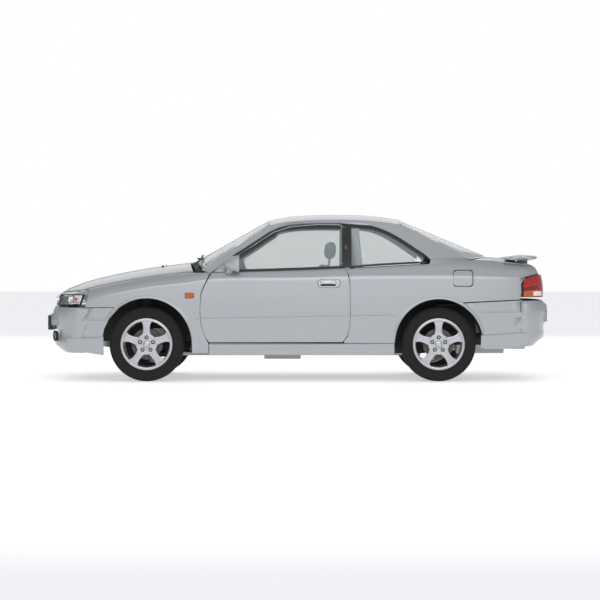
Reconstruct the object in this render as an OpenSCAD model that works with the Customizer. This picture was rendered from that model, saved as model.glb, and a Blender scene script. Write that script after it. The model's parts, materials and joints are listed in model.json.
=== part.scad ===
// Two-door notchback coupe. Millimetres, +Z up, front of the car toward -X, +Y is its right-hand side.

/* [Overall] */
// Overall length, front plate to rear bumper
length = 4327; // [4000:1:4650]
// Body width, mirrors left out
width = 1700; // [1550:1:1850]
// Overall height
height = 1423; // [1300:1:1550]
// Distance between the axles
wheelbase = 2465; // [2300:1:2650]

/* [Wheels] */
// Tyre outside diameter
tyre_d = 632; // [580:1:660]
// Tyre width
tyre_w = 200; // [165:1:225]
// Rim flange diameter
rim_d = 440; // [370:1:470]
// Centre of one tyre to centre of the other, across the car
track = 1470; // [1380:1:1520]
// Lug circle diameter
lug_pcd = 114.3; // [98:0.1:120]
// Brake disc diameter
disc_d = 260; // [220:1:290]

/* [Gaps and sheets] */
// Shut gap between outer panels
gap = 6; // [4:0.5:9]
// Thickness of outer sheet panels
skin = 4; // [3:0.5:8]
// Thickness of window glass
pane = 5; // [4:0.5:8]
// Thickness of a door from outer skin to inner trim
door_t = 90; // [70:1:110]
// Clear air kept round a moving piece
clear = 6; // [5:0.5:12]

/* [Doors and lids] */
// Radius of a door hinge pin
pin_r = 8; // [6:0.5:10]
// How far the door hinge line stands inboard of the skin
hinge_in = 22; // [18:1:26]
// How far the door hinge line stands behind the shut line
hinge_back = 64; // [58:1:74]

/* [Cabin] */
// Across the car, middle to a front seat's middle
seat_y = 350; // [300:1:400]
// Width of a front seat
seat_w = 500; // [440:1:540]
// Steering wheel rim diameter
steer_d = 370; // [330:1:400]

/* [Show] */
// One node by name, or all

/* [Hidden] */

silver = [0.72, 0.73, 0.75];
black = [0.06, 0.06, 0.07];
grey = [0.35, 0.36, 0.37];
steel = [0.5, 0.5, 0.52];
tint = [0.45, 0.52, 0.5, 0.5];

// Design stations are drawn for these axle places, sizes and floor; mx, my and mz move them to the set sizes.
DF = -1281;
DR = 1184;
over_f = (length - wheelbase) * 0.4747;
over_r = length - wheelbase - over_f;
axle_f = -length / 2 + over_f;
axle_r = axle_f + wheelbase;
tyre_r = tyre_d / 2;
function r2(v) = round(v * 100) / 100;
function mx(x) = x < DF ? axle_f + (x - DF) * over_f / 884
  : x > DR ? axle_r + (x - DR) * over_r / 978
  : axle_f + (x - DF) * wheelbase / 2465;
function my(y) = y * width / 1700;
function mz(z) = z < 600 ? z + (tyre_r - 316) * (600 - z) / 600 * (z > 60 ? 1 : 0)
  : 600 + (z - 600) * (height - 600) / 823;
function m3(p) = [r2(mx(p[0])), r2(my(p[1])), r2(mz(p[2]))];

// Smooth curve through a few points of [x, value], sorted by x, level beyond the ends.
function seg(t, x, i = 0) = i >= len(t) - 2 || x < t[i + 1][0] ? i : seg(t, x, i + 1);
function slope(t, i) = i <= 0 ? (t[1][1] - t[0][1]) / (t[1][0] - t[0][0])
  : i >= len(t) - 1 ? (t[i][1] - t[i - 1][1]) / (t[i][0] - t[i - 1][0])
  : (t[i + 1][1] - t[i - 1][1]) / (t[i + 1][0] - t[i - 1][0]);
function herm(a, b, da, db, h, u) = a * (2 * u * u * u - 3 * u * u + 1) + b * (3 * u * u - 2 * u * u * u)
  + h * (da * (u * u * u - 2 * u * u + u) + db * (u * u * u - u * u));
function cv(t, x) = x <= t[0][0] ? t[0][1] : x >= t[len(t) - 1][0] ? t[len(t) - 1][1]
  : let(i = seg(t, x), h = t[i + 1][0] - t[i][0])
    herm(t[i][1], t[i + 1][1], slope(t, i), slope(t, i + 1), h, (x - t[i][0]) / h);
// Point at share s of the way along a polyline.
function plen(p, i = 0) = i >= len(p) - 1 ? 0 : norm(p[i + 1] - p[i]) + plen(p, i + 1);
function along(p, d, i = 0) = let(e = norm(p[i + 1] - p[i]))
  d <= e || i >= len(p) - 2 ? p[i] + (p[i + 1] - p[i]) * min(1, d / e) : along(p, d - e, i + 1);
function even(p, n) = let(l = plen(p)) [for (k = [0:n]) along(p, l * k / n)];
function arc(c, r, a0, a1, n) = [for (k = [0:n]) c + r * [cos(a0 + (a1 - a0) * k / n), sin(a0 + (a1 - a0) * k / n)]];
function mixr(a, b, t) = [for (i = [0:len(a) - 1]) a[i] + (b[i] - a[i]) * t];
function flat(a) = [for (r = a) for (p = r) p];
function sq(v) = v * v;

// Widest half-width along the car, and how far the side draws in with height.
W_PLAN = [[-2000, 735], [-1850, 790], [-1650, 822], [-1300, 842], [-700, 850], [700, 850],
  [1200, 846], [1600, 830], [1850, 803], [1960, 772], [2060, 700]];
Z_IN = [[220, 42], [330, 18], [430, 6], [553, 0], [700, 4], [820, 12], [1100, 30]];
Z_SH = [[-1850, 670], [-1600, 728], [-1241, 792], [-936, 827], [-700, 862], [0, 868], [800, 872], [2000, 868]];
K_SH = [[-1850, 0.0166], [-1241, 0.0166], [-700, 0.015], [0, 0.0116], [400, 0.008], [800, 0.007], [1472, 0.0068], [1794, 0.0106], [2000, 0.011]];
function ys(x, z) = cv(W_PLAN, x) - cv(Z_IN, z) - cv(K_SH, x) * sq(max(0, z - cv(Z_SH, x)));
// Side glass plane and roof.
function yg(x, z) = 752 - 0.36 * (z - 930) - 0.0002 * sq(z - 930) - 18 * sq((x - 150) / 900);
Z_ROOF = [[-266, 1369], [-126, 1400], [15, 1414], [226, 1423], [507, 1420], [718, 1404], [880, 1378]];
function zr(x, y) = cv(Z_ROOF, x) - 56 * sq(y / 562);
// Hood.
Z_HOOD = [[-2095, 700], [-2024, 766], [-1954, 799], [-1813, 848], [-1602, 900], [-1321, 953], [-1040, 991], [-930, 1003]];
Z_SEAM = [[-2060, 700], [-1846, 766], [-1600, 824], [-1241, 887], [-936, 922]];
Y_SEAM = [[-2060, 520], [-1846, 600], [-1600, 652], [-1241, 686], [-936, 686]];
function zh(x, y) = let(c = cv(Z_HOOD, x), e = cv(Z_SEAM, x), w = cv(Y_SEAM, x))
  c - (c - e) * pow(abs(y) / w, 2.2);

// Closed sheet between grid P and grid Q, with cells left out where the mask is 0.
module shell(P, Q, mask = []) {
  n = len(P);
  m = len(P[0]);
  o = n * m;
  pts = [for (p = concat(flat(P), flat(Q))) m3(p)];
  function on(i, j) = i >= 0 && i < n - 1 && j >= 0 && j < m - 1 && (len(mask) == 0 || mask[i][j] != 0);
  ci = floor((n - 1) / 2);
  cj = floor((m - 1) / 2);
  a0 = P[ci][cj];
  turn = cross(P[ci][cj + 1] - a0, P[ci + 1][cj] - a0) * (a0 - Q[ci][cj]) < 0;
  f = [for (i = [0:n - 2]) for (j = [0:m - 2]) if (on(i, j)) let(a = i * m + j, b = a + 1, d = a + m, c = d + 1)
    each concat([[a, d, c], [a, c, b], [a + o, b + o, c + o], [a + o, c + o, d + o]],
      on(i - 1, j) ? [] : [[a, b, b + o], [a, b + o, a + o]],
      on(i, j + 1) ? [] : [[b, c, c + o], [b, c + o, b + o]],
      on(i + 1, j) ? [] : [[c, d, d + o], [c, d + o, c + o]],
      on(i, j - 1) ? [] : [[d, a, a + o], [d, a + o, d + o]])];
  polyhedron(pts, turn ? [for (t = f) [t[0], t[2], t[1]]] : f, convexity = 8);
}
// Side panel from rows of [x, z]; s is -1 for the left, t is how thick.
module side(rows, s, t, mask = []) {
  shell([for (r = rows) [for (p = r) [p[0], s * ys(p[0], p[1]), p[1]]]],
    [for (r = rows) [for (p = r) [p[0], s * (ys(p[0], p[1]) - t), p[1]]]], mask);
}
module glass_side(rows, s, off, t, mask = []) {
  shell([for (r = rows) [for (p = r) [p[0], s * (yg(p[0], p[1]) - off), p[1]]]],
    [for (r = rows) [for (p = r) [p[0], s * (yg(p[0], p[1]) - off - t), p[1]]]], mask);
}
function ruled(a, b, n) = [for (k = [0:n]) mixr(a, b, k / n)];
// Plain box between two design corners.
module bx(a, b) {
  p = m3([min(a[0], b[0]), min(a[1], b[1]), min(a[2], b[2])]);
  q = m3([max(a[0], b[0]), max(a[1], b[1]), max(a[2], b[2])]);
  translate(p) cube(q - p);
}
// Solid through a row of closed loops, each with the same number of points.
module loft(S) {
  n = len(S);
  m = len(S[0]);
  q = [for (p = flat(S)) m3(p)];
  mid = [for (k = [0:2]) (S[0][0][k] + S[0][floor(m / 2)][k]) / 2];
  turn = cross(S[1][0] - S[0][0], S[1][1] - S[0][0]) * (S[0][0] - mid) > 0;
  f = concat([for (k = [1:m - 2]) [0, k, k + 1]],
    [for (i = [0:n - 2]) for (k = [0:m - 1]) let(a = i * m + k, b = i * m + (k + 1) % m) each [[a, a + m, b + m], [a, b + m, b]]],
    [for (k = [1:m - 2]) [(n - 1) * m, (n - 1) * m + k + 1, (n - 1) * m + k]]);
  polyhedron(q, turn ? [for (t = f) [t[0], t[2], t[1]]] : f, convexity = 4);
}
// Bar of rectangular section through a list of points: w across, h the other way.
module bar(pts, w, h) {
  n = len(pts);
  loft([for (i = [0:n - 1]) let(a = pts[max(0, i - 1)], b = pts[min(n - 1, i + 1)], d = (b - a) / norm(b - a),
    u = cross(d, [0, 1, 0]), un = u / max(1e-6, norm(u)), v = cross(d, un))
    [pts[i] + un * h / 2 + v * w / 2, pts[i] + un * h / 2 - v * w / 2,
      pts[i] - un * h / 2 - v * w / 2, pts[i] - un * h / 2 + v * w / 2]]);
}

// Outlines on the side, as [x, z].
AF = [-1276, 322];
AR = [1188, 322];
RF = 383;
RR = 376;
SHUT_F = [[-727, 922], [-780, 820], [-815, 740], [-824, 607], [-818, 520], [-804, 442], [-775, 370], [-749, 332]];
SHUT_R = [[396, 949], [424, 900], [435, 828], [438, 586], [434, 470], [413, 377], [374, 334]];
HX = -824 + hinge_back;
HINGE_Z = [475, 730];
FLAP_C = [1394, 872];
FLAP_W = 172;
FLAP_H = 142;
function shift(p, dx) = [for (q = p) [q[0] + dx, q[1]]];
function belt(x) = cv([[-735, 922], [-405, 928], [-17, 940], [386, 957], [741, 981], [1098, 1000]], x);
DLO_TOP = [[-735, 922], [-542, 1070], [-359, 1188], [-213, 1286], [-66, 1326], [178, 1340], [374, 1336],
  [629, 1315], [748, 1274], [867, 1207], [984, 1129], [1100, 1050]];
function dlo(x) = cv(DLO_TOP, x);
function on_side(p, s, d = 0) = [p[0], s * (ys(p[0], p[1]) - d), p[1]];
function on_glass(p, s, d = 0) = [p[0], s * (yg(p[0], p[1]) - d), p[1]];

// Lip turned inward round a wheel arch.
module lip(A, c, s) {
  shell([for (p = A) [on_side(p, s, 1), on_side(p, s, 28)]],
    [for (p = A) let(u = (p - c) / norm(p - c) * 5) [on_side(p + u, s, 1), on_side(p + u, s, 28)]]);
}
module fender(s) {
  a = concat(arc(AF, RF, 127, 0, 18), [[-891, 240]]);
  o = concat([[-1796, 628], [-1772, 728], [-1780, 776]], [for (x = [-1700, -1500, -1300, -1100, -936]) [x, cv(Z_SEAM, x) - 4]],
    [[-808, 918]], [for (p = SHUT_F) p - [gap + (p[1] > 760 ? 7 : 2), 0]], [[-757, 312], [-762, 240]]);
  A = even(a, 26);
  side(ruled(even(o, 26), A, 5), s, skin);
  lip(A, AF, s);
}
// Upper band: A-pillar, roof rail and C-pillar in one piece.
W_EDGE = [[-822, 712, 942], [-243, 560, 1326]];
G_EDGE = [[862, 560, 1331], [1466, 634, 1036]];
function rail_top() = concat([W_EDGE[0], [-530, 638, 1138], W_EDGE[1]],
  [for (x = [-100, 100, 350, 600]) [x, 566, zr(x, 566) - 4]], [G_EDGE[0], [1160, 600, 1189], G_EDGE[1]]);
module body_side(s) {
  a = concat([[812, 326]], arc(AR, RR, 178, 66, 18));
  o = concat([[388, 326]], [for (i = [6:-1:0]) SHUT_R[i] + [gap + 1.5, 0]],
    [[741, 972], [1100, 992], [1300, 1015], [1466, 1026], [1794, 999], [1955, 982], [2010, 972], [2034, 940], [2030, 912], [1878, 872], [1884, 694], [1640, 682], [1345, 667]]);
  A = even(a, 38);
  difference() {
    side(ruled(even(o, 38), A, 5), s, skin);
    if (s < 0)
      bx([FLAP_C[0] - FLAP_W / 2, s * 700, FLAP_C[1] - FLAP_H / 2], [FLAP_C[0] + FLAP_W / 2, s * 900, FLAP_C[1] + FLAP_H / 2]);
  }
  lip(A, AR, s);
  // Pocket behind the fuel flap.
  px = FLAP_C[0];
  if (s < 0) difference() {
    bx([px - 94, s * 700, FLAP_C[1] - 79], [px + 94, s * 780, FLAP_C[1] + 79]);
    bx([px - 90, s * 708, FLAP_C[1] - 75], [px + 90, s * 900, FLAP_C[1] + 75]);
  }
  t = rail_top();
  lo = concat([[-745, 916]], [for (p = DLO_TOP) if (p[0] > -600) [p[0], p[1] + 8]], [[1135, 1020]]);
  n = 24;
  L = [for (k = [0:n]) let(p = even(lo, n)[k]) on_glass(p, s, -10)];
  T = [for (p = even([for (q = t) [q[0], s * q[1], q[2]]], n)) p];
  shell(ruled(L, T, 2), [for (r = ruled(L, T, 2)) [for (p = r) p - [0, s * 12, 10]]]);
  // Foot of the C-pillar and shoulder under the quarter window.
  F0 = even([[1135, 1020], [1472, 1040]], 6);
  F1 = even([[1110, 985], [1480, 1015]], 6);
  hull() {
    for (p = [on_glass([1125, 1030], s, -6), on_side([1115, 985], s, 6), on_side([1466, 1015], s, 8), [1440, s * 640, 1035]])
      translate(m3(p)) cube(8, center = true);
  }
  // Sill box, with the lower B-pillar and hinge pillar standing on it.
  bx([-870, s * 690, 236], [812, s * 795, 322]);
  // Jacking pads.
  for (x = [-700, 700]) bx([x - 40, s * 700, 220], [x + 40, s * 760, 237]);
  bx([470, s * 700, 322], [560, s * 765, 960]);
  bx([-890, s * 690, 322], [-850, s * 730, 900]);
  // Door hinges: an arm from the pillar and an upright pin.
  for (z = HINGE_Z) {
    bx([-852, s * 700, z - 6], [HX + 8, s * 730, z + 6]);
    bx([HX - 8, s * 728, z - 6], [HX + 8, s * (850 - hinge_in), z + 6]);
    translate([mx(HX), s * my(850 - hinge_in), mz(z) - 30]) cylinder(h = 60, r = pin_r - 0.5, $fn = 48);
  }
  bar([for (q = [[515, 940], [492, 1180], [481, 1338]]) on_glass(q, s, 25)], 30, 66);
}
module roof_panel() {
  xs = [for (k = [0:14]) k / 14];
  P = [for (k = xs) [for (j = [-6:6]) let(v = j / 6, y = 542 * v, x0 = -262 + 20 * v * v, x1 = 884 - 26 * v * v,
    x = x0 + (x1 - x0) * k) [x, y, zr(x, y)]]];
  shell(P, [for (r = P) [for (p = r) p - [0, 0, 18]]]);
}
// Screen between a lower and an upper edge.
module screen(b, b2, t, t2) {
  P = [for (k = [0:4]) [for (j = [-6:6]) let(v = j / 6, q = b + (b2 - b) * v * v, w = t + (t2 - t) * v * v)
    let(lo = [q[0], b2[1] * v, q[2]], hi = [w[0], t2[1] * v, w[2]]) lo + (hi - lo) * k / 4]];
  shell(P, [for (r = P) [for (p = r) p - [0, 0, pane]]]);
}
module windshield() {
  screen([-886, 0, 1022], [-806, 696, 948], [-269, 0, 1366], [-246, 544, 1322]);
}
module rear_window() {
  screen([1630, 0, 1064], [1460, 620, 1034], [890, 0, 1370], [866, 549, 1328]);
}
module quarter_windows() {
  for (s = [-1, 1]) {
    xs = [450, 600, 740, 870, 990, 1060];
    glass_side(ruled([for (x = xs) [x, belt(x) + 8]], [for (x = xs) [x, dlo(x) - 8]], 3), s, 2, pane);
  }
}

// Front and rear ends wrap round in plan: v is -1 to 1 across, e the tip, w the half-width, d how deep the corner is.
function wrap(v, e, w, d, s) = let(a = abs(v), y = w * sin(90 * pow(a, 0.9)), c = pow(max(0, 1 - pow(y / w, 2.6)), 1 / 2.6))
  [e + s * d * (1 - c), sign(v) * y];
FB_X = [[240, -2030], [299, -2112], [345, -2120], [360, -2100], [420, -2092], [513, -2122], [585, -2132], [640, -2100], [652, -2060]];
FB_Z = [240, 299, 345, 360, 420, 513, 585, 628, 650];
RB_X = [[296, 2035], [318, 2058], [366, 2128], [409, 2130], [444, 2125], [520, 2148], [600, 2162], [650, 2152], [682, 2110], [690, 2075]];
RB_Z = [296, 318, 366, 409, 444, 520, 580, 640, 682];
module bumper(tab, zs, s, x_end, inset) {
  P = [for (z = zs) let(e = cv(tab, z)) [for (j = [-14:14]) let(v = j / 14, w = ys(x_end, z) - inset,
    q = wrap(v, e, w, abs(x_end - e), s), low = s > 0 ? 26 * max(0, z - 560) / 90 * min(1, max(0, (abs(q[1]) - 330) / 80)) : 0)
    [q[0], q[1], z - low]]];
  shell(P, [for (r = P) [for (p = r) [p[0] + s * skin * 2 * (1 - pow(abs(p[1]) / 860, 4)), p[1] * (1 - 2 * skin / 830), p[2]]]]);
}
// Corner of a bumper that runs on along the side to the wheel arch.
module front_bumper() {
  bumper(FB_X, FB_Z, 1, -1810, 0);
  for (s = [-1, 1])
    side([for (z = [245, 340, 440, 530, 622]) let(e = -1276 - sqrt(max(0, sq(RF) - sq(z - 322))))
      [for (k = [0:5]) [-1812 + (e + 1812) * k / 5, z - (z < 300 ? 4.6 * k : 0)]]], s, skin * 2);
  // Bumper beam and plate.
  bx([-2110, -560, 470], [-2060, 560, 570]);
  bx([-2165, -260, 425], [-2118, 260, 545]);
}
module rear_bumper() {
  bumper(RB_X, RB_Z, -1, 1885, 0);
  for (s = [-1, 1])
    side([for (z = [275, 360, 450, 540, 658]) let(e = 1188 + sqrt(max(0, sq(RR) - sq(z - 322))) + gap)
      [for (k = [0:5]) let(x = e + (1887 - e) * k / 5) [x, z + (z > 600 ? 0.05 * (x - 1350) : 0)]]], s, skin * 2);
  bx([2080, -560, 500], [2124, 560, 600]);
}
module grille() {
  for (z = [658, 672, 686]) bx([-2078, -330, z], [-2050, 330, z + 6]);
  bx([-2052, -345, 652], [-2040, 345, 700]);
}
module headlamps() {
  for (s = [-1, 1]) {
    P = [for (z = [642, 672, 703, 734]) [for (k = [0:7]) let(u = k / 7, y = 350 + 400 * u, x = -2080 + 40 * u + 206 * pow(u, 3.2) + (z - 640) * 0.35)
      [x, s * y, z]]];
    shell(P, [for (r = P) [for (p = r) p + [70 * (1 - 0.4 * (abs(p[1]) - 350) / 400), -s * 0.05 * (abs(p[1]) - 350), 0]]]);
  }
}
module taillamps() {
  for (s = [-1, 1]) {
    P = [for (t = [0, 0.25, 0.5, 0.75, 1]) [for (k = [0:8]) let(u = k / 8, z0 = 712 + 190 * t,
      xr = 2086 - 0.0009 * sq(max(0, z0 - 760)), x = xr - (xr - 1892) * pow(u, 3),
      z = 712 + (min(900, 853 + 40 * (x - 1869) / 134) - 712) * t, y = 560 + (ys(1892, z) - 8 - 560) * min(1, u * 1.15 - 0.15 * u * u)) [x, s * y, z]]];
    shell(P, [for (r = P) [for (p = r) p + [-60 * (1 - 0.5 * (abs(p[1]) - 560) / 250), -s * 0.1 * (abs(p[1]) - 560), 0]]]);
  }
}
module side_skirts() {
  for (s = [-1, 1])
    side([for (z = [226, 250, 285, 316, 322]) [for (x = [-752, -400, 0, 400, 806]) [x, z]]], s, 12);
}
// Tie-down bracket with an upright hole.
module tow(x, z, z1, s) {
  difference() {
    bx([x - 40, -40, z], [x + 40, 40, z + 12]);
    translate([mx(x), 0, z - 20]) cylinder(h = 60, r = 14, $fn = 32);
  }
  bx([x + s * 32, -40, z + 11], [x + s * 40, 40, z1]);
}
module floor_pan() {
  tow(-1925, 300, 348, -1);
  tow(1990, 318, 361, 1);
  for (s = [-1, 1]) {
    bx([-1950, s * 380, 330], [-900, s * 440, 400]);
    bx([812, s * 440, 300], [1110, s * 500, 370]);
    bx([1262, s * 440, 300], [1960, s * 500, 360.5]);
    bx([-1700, s * 430, 400], [-900, s * 438, 752]);
    bx([830, s * 508, 352], [1520, s * 516, 880]);
    bx([1564, s * 515, 360], [1990, s * 600, 372]);
  }
  // Tunnel, firewall, rear seat step, boot floor, shelf, rear wall, lamp bar.
  difference() {
    union() {
      bx([-900, -690, 240], [812, 690, 252]);
      bx([-900, -95, 245], [700, 95, 390]);
    }
    bx([-910, -80, 200], [685, 80, 378]);
  }
  bx([-912, -690, 240], [-896, 690, 868]);
  bx([690, -690, 245], [706, 690, 420]);
  bx([700, -509, 408], [1180, 509, 420]);
  bx([1170, -509, 360], [1182, 509, 960]);
  bx([1170, -600, 948], [1440, 600, 960]);
  bx([1180, -516, 360], [2040, 516, 372]);
  bx([2028, -520, 360], [2040, 520, 676]);
  bx([-1990, -560, 330], [-1960, 560, 360]);
  bx([-1990, -330, 600], [-1960, 330, 640]);
  for (y = [-305, 0, 305]) bx([-1985, y - 20, 350], [-1965, y + 20, 610]);
}
module cowl_panel() {
  bx([-1000, -660, 850], [-990, 660, 880]);
  bx([-1000, -660, 868], [-850, 660, 878]);
  bx([-905, -200, 878], [-895, 200, 950]);
  P = [for (k = [0:3]) [for (j = [-6:6]) let(v = j / 6) [-926 + 40 * k / 3 + 60 * v * v, 682 * v, 1004 + 12 * k / 3 - 75 * v * v]]];
  shell(P, [for (r = P) [for (p = r) p - [0, 0, 60]]]);
}
module wipers() {
  for (y = [-600, 40]) {
    bar([for (q = [[-884, y], [-850, y + 250], [-835, y + 540]]) let(v = q[1] / 698)
      [q[0], q[1], 1038 - 74 * v * v + max(0, q[0] + 886 - 80 * v * v) * 0.557]], 14, 12);
  }
}

function rev(p) = [for (i = [len(p) - 1:-1:0]) p[i]];
module door(s) {
  L = even(rev(SHUT_F), 8);
  R = even(rev(SHUT_R), 8);
  rows = [for (k = [0:8]) [for (j = [0:8]) L[k] + (R[k] - L[k]) * j / 8 + [0, k == 8 ? belt(L[k][0] + (R[k][0] - L[k][0]) * j / 8) - (L[k] + (R[k] - L[k]) * j / 8)[1] - 2 : 0]]];
  side(rows, s, skin);
  in = [for (k = [0:8]) [for (j = [0:4]) let(a = L[k] + [18, 0], b = R[k] - [18, 0], z = 352 + (884 - 352) * k / 8,
    p = a + (b - a) * j / 4) [p[0], z]]];
  difference() {
    shell([for (r = in) [for (p = r) on_side(p, s, 0.5)]], [for (r = in) [for (p = r) [p[0], s * (min(ys(p[0], p[1]), 838) - door_t), p[1]]]]);
    for (z = HINGE_Z) translate([mx(HX), s * my(850 - hinge_in), mz(z)]) {
      cylinder(h = 24, r = door_t + 14, center = true, $fn = 64);
      cylinder(h = 84, r = pin_r, center = true, $fn = 48);
    }
  }
  // Window frame.
  f = concat([[-690, 912], [-672, 940]], [for (x = [-542, -359, -213, -66, 178, 345]) [x, dlo(x) - 16 - (x < -50 ? 6 : 0) - (x < -200 ? 8 : 0)]], [[392, 1300], [398, 1130], [402, 935]]);
  bar([for (p = f) let(q = [p[0], max(p[1], 905)]) on_glass(q, s, 8)], 16, 16);
}
module door_window(s) {
  xs = [-640, -542, -430, -320, -213, -66, 100, 250, 383];
  glass_side(ruled([for (x = xs) [x, 895]], [for (x = xs) [x, max(900, dlo(x) - (x < -200 ? 42 : 25))]], 3), s, 6, pane);
}
module door_mirror(s) {
  P = [for (t = [0, 0.3, 0.65, 0.88, 1]) [for (k = [0:8]) let(a = 360 * k / 9, q = sqrt(max(0.1, 1 - t * t)))
    [-496 - 125 * t, s * (868 + 88 * q * cos(a)), 995 + 66 * q * sin(a)]]];
  loft(P);
  bar([[-592, s * 806, 925], [-582, s * 830, 940], [-566, s * 880, 965]], 46, 34);
}
module hood() {
  P = [for (k = [0:10]) [for (j = [-7:7]) let(v = j / 7, xf = -2088 + 238 * pow(abs(v), 2.8), xb = -942 + 50 * v * v,
    x = xf + (xb - xf) * k / 10, y = v * (cv(Y_SEAM, x) - gap)) [x, y, zh(x, y)]]];
  shell(P, [for (i = [0:10]) [for (p = P[i]) p - [0, 0, 5 + 8 * min(1, i / 2)]]]);
}
LID = [[1652, 1054, 632, 165, 26], [1762, 1046, 608, 100, 24], [1885, 1024, 593, 62, 20], [1985, 1002, 596, 40, 14], [2032, 982, 584, 34, 8],
  [2062, 945, 553, 28, 5], [2084, 890, 551, 24, 0], [2100, 820, 550, 22, 0], [2105, 770, 550, 22, 0], [2098, 712, 550, 22, 0]];
LID_IN = [[0, -13], [0, -13], [-1, -13], [-4, -13], [-9, -10], [-12, -6], [-13, -3], [-13, -1], [-13, 0], [-13, 0]];
module trunk_lid() {
  P = [for (k = [0:9]) let(c = LID[k]) [for (j = [-6:6]) let(v = j / 6) [c[0] - c[3] * v * v, c[2] * v, c[1] - c[4] * v * v]]];
  shell(P, [for (k = [0:9]) [for (p = P[k]) p + [LID_IN[k][0], 0, LID_IN[k][1]]]]);
  // Blank rear plate.
  bx([2094, -255, 752], [2112, 255, 862]);
}
module rear_spoiler() {
  loft([for (j = [-6:6]) let(v = j / 6, q = [-52 * v * v, 0, -14 * v * v])
    [[1800, 640 * v, 1044] + q, [1850, 640 * v, 1060] + q, [1945, 640 * v, 1072] + q, [2060, 640 * v, 1066] + q,
      [2078, 640 * v, 1054] + q, [2030, 640 * v, 1038] + q, [1900, 640 * v, 1038] + q]]);
  for (s = [-1, 1]) bx([1872, s * 520, 998], [1956, s * 560, 1046]);
}
module fuel_flap() {
  w = FLAP_W / 2 - gap;
  h = FLAP_H / 2 - gap;
  side([for (z = [-h, -h / 3, h / 3, h]) [for (x = [-w, -w / 3, w / 3, w]) FLAP_C + [x, z]]], -1, skin);
}

// Wheels and tyres about their own axis, turned so that +Y points out of the car.
module wheel_shape() {
  r = rim_d / 2;
  w = tyre_w;
  rotate([-90, 0, 0]) {
    // Barrel.
    rotate_extrude($fn = 64) polygon([[r - 24, -w / 2 + 10], [r - 2, -w / 2 + 10], [r - 2, -w / 2 + 20], [r - 10, -w / 2 + 30],
      [r - 10, w / 2 - 30], [r - 2, w / 2 - 20], [r - 2, w / 2 - 8], [r - 18, w / 2 - 8], [r - 22, w / 2 - 20], [r - 26, w / 2 - 40], [r - 26, -w / 2 + 40]]);
    difference() {
      union() {
        translate([0, 0, 20]) cylinder(h = w / 2 - 32, r = 82, $fn = 64);
        translate([0, 0, w / 2 - 12]) cylinder(h = 6, r = 26, $fn = 48);
        for (a = [0:72:288]) rotate(a) translate([0, 0, 44]) linear_extrude(30)
          polygon([[60, -46], [100, -30], [160, -30], [r - 24, -44], [r - 20, 0], [r - 24, 44], [160, 30], [100, 30], [60, 46]]);
      }
      for (a = [0:72:288]) rotate(a) translate([lug_pcd / 2, 0, 62]) cylinder(h = 60, r = 17, $fn = 32);
    }
    for (a = [0:72:288]) rotate(a) translate([lug_pcd / 2, 0, 50]) cylinder(h = 24, r = 10, $fn = 32);
    // Brake disc and hub.
    translate([0, 0, -2]) cylinder(h = 22, r = disc_d / 2, $fn = 64);
    translate([0, 0, -30]) cylinder(h = 60, r = 34, $fn = 48);
  }
}
module tyre_shape() {
  r = tyre_d / 2;
  q = rim_d / 2 - 1.9;
  w = tyre_w / 2;
  rotate([-90, 0, 0]) rotate_extrude($fn = 72) polygon([[q, -w + 9], [q + 14, -w + 4], [r - 60, -w], [r - 34, -w + 4], [r - 12, -w + 16], [r - 3, -w + 30],
    [r, -w + 60], [r, w - 60], [r - 3, w - 30], [r - 12, w - 16], [r - 34, w - 4], [r - 60, w], [q + 14, w - 4], [q, w - 9],
    [q, w - 20], [q - 6, w - 31], [q - 6, -w + 31], [q, -w + 21]]);
}
module place(x, s) {
  translate([x, s * track / 2, tyre_r]) scale(1) rotate([0, 0, s > 0 ? 0 : 180]) rotate([0, s > 0 ? -90 : -90, 0]) children();
}

// Front hub carrier and caliper, child of the steering swivel.
module knuckle(s) {
  translate([axle_f, s * track / 2, tyre_r]) {
    rotate([s * 90, 0, 0]) difference() {
      translate([0, 0, 36]) cylinder(h = 50, r = 58, $fn = 48);
      translate([0, 0, 30]) cylinder(h = 60, r = 36, $fn = 48);
    }
    translate([-16, s > 0 ? -150 : 128, 56]) cube([32, 22, 110]);
    translate([-16, s > 0 ? -128 : 86, 40]) cube([32, 42, 26]);
    translate([-14, s > 0 ? -106 : 66, -140]) cube([28, 40, 90]);
    // Caliper round the back of the disc.
    difference() {
      intersection() {
        translate([52, s > 0 ? -50 : -30, 40]) cube([104, 80, 92]);
        rotate([90, 0, 0]) cylinder(h = 200, r = rim_d / 2 - 26 - clear - 3, center = true, $fn = 64);
      }
      rotate([90, 0, 0]) cylinder(h = 300, r = disc_d / 2 + clear, center = true, $fn = 64);
    }
    translate([52, s > 0 ? -54 : 32, 28]) cube([70, 22, 84]);
    translate([40, s > 0 ? -70 : 54, 20]) cube([30, 16, 60]);
  }
}
module front_subframe() {
  x = axle_f;
  bx([-1420, -330, 190], [-1130, 330, 225]);
  bx([-1420, -380, 225], [-1380, 380, 330]);
  bx([-1150, -380, 225], [-1110, 380, 330]);
  for (s = [-1, 1]) {
    // Lower arm, strut and drive shaft.
    bar([[-1280, s * 320, 215], [-1281, s * 510, 190], [-1281, s * 600, 178]], 60, 26);
    translate([x, s * 535, 0]) {
      translate([0, 0, 470]) cylinder(h = 290, r = 24, $fn = 32);
      translate([0, 0, 580]) cylinder(h = 174, r = 52, $fn = 32);
    }
    bx([-1360, s * 430, 752], [-1200, s * 640, 772]);
    translate([x, s * 300, tyre_r]) rotate([s * -90, 0, 0]) cylinder(h = 262, r = 14, $fn = 24);
  }
}
module engine() {
  bx([-1800, -370, 332], [-1180, 370, 790]);
  bx([-1360, -300, 240], [-1170, 300, 333]);
}
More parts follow.
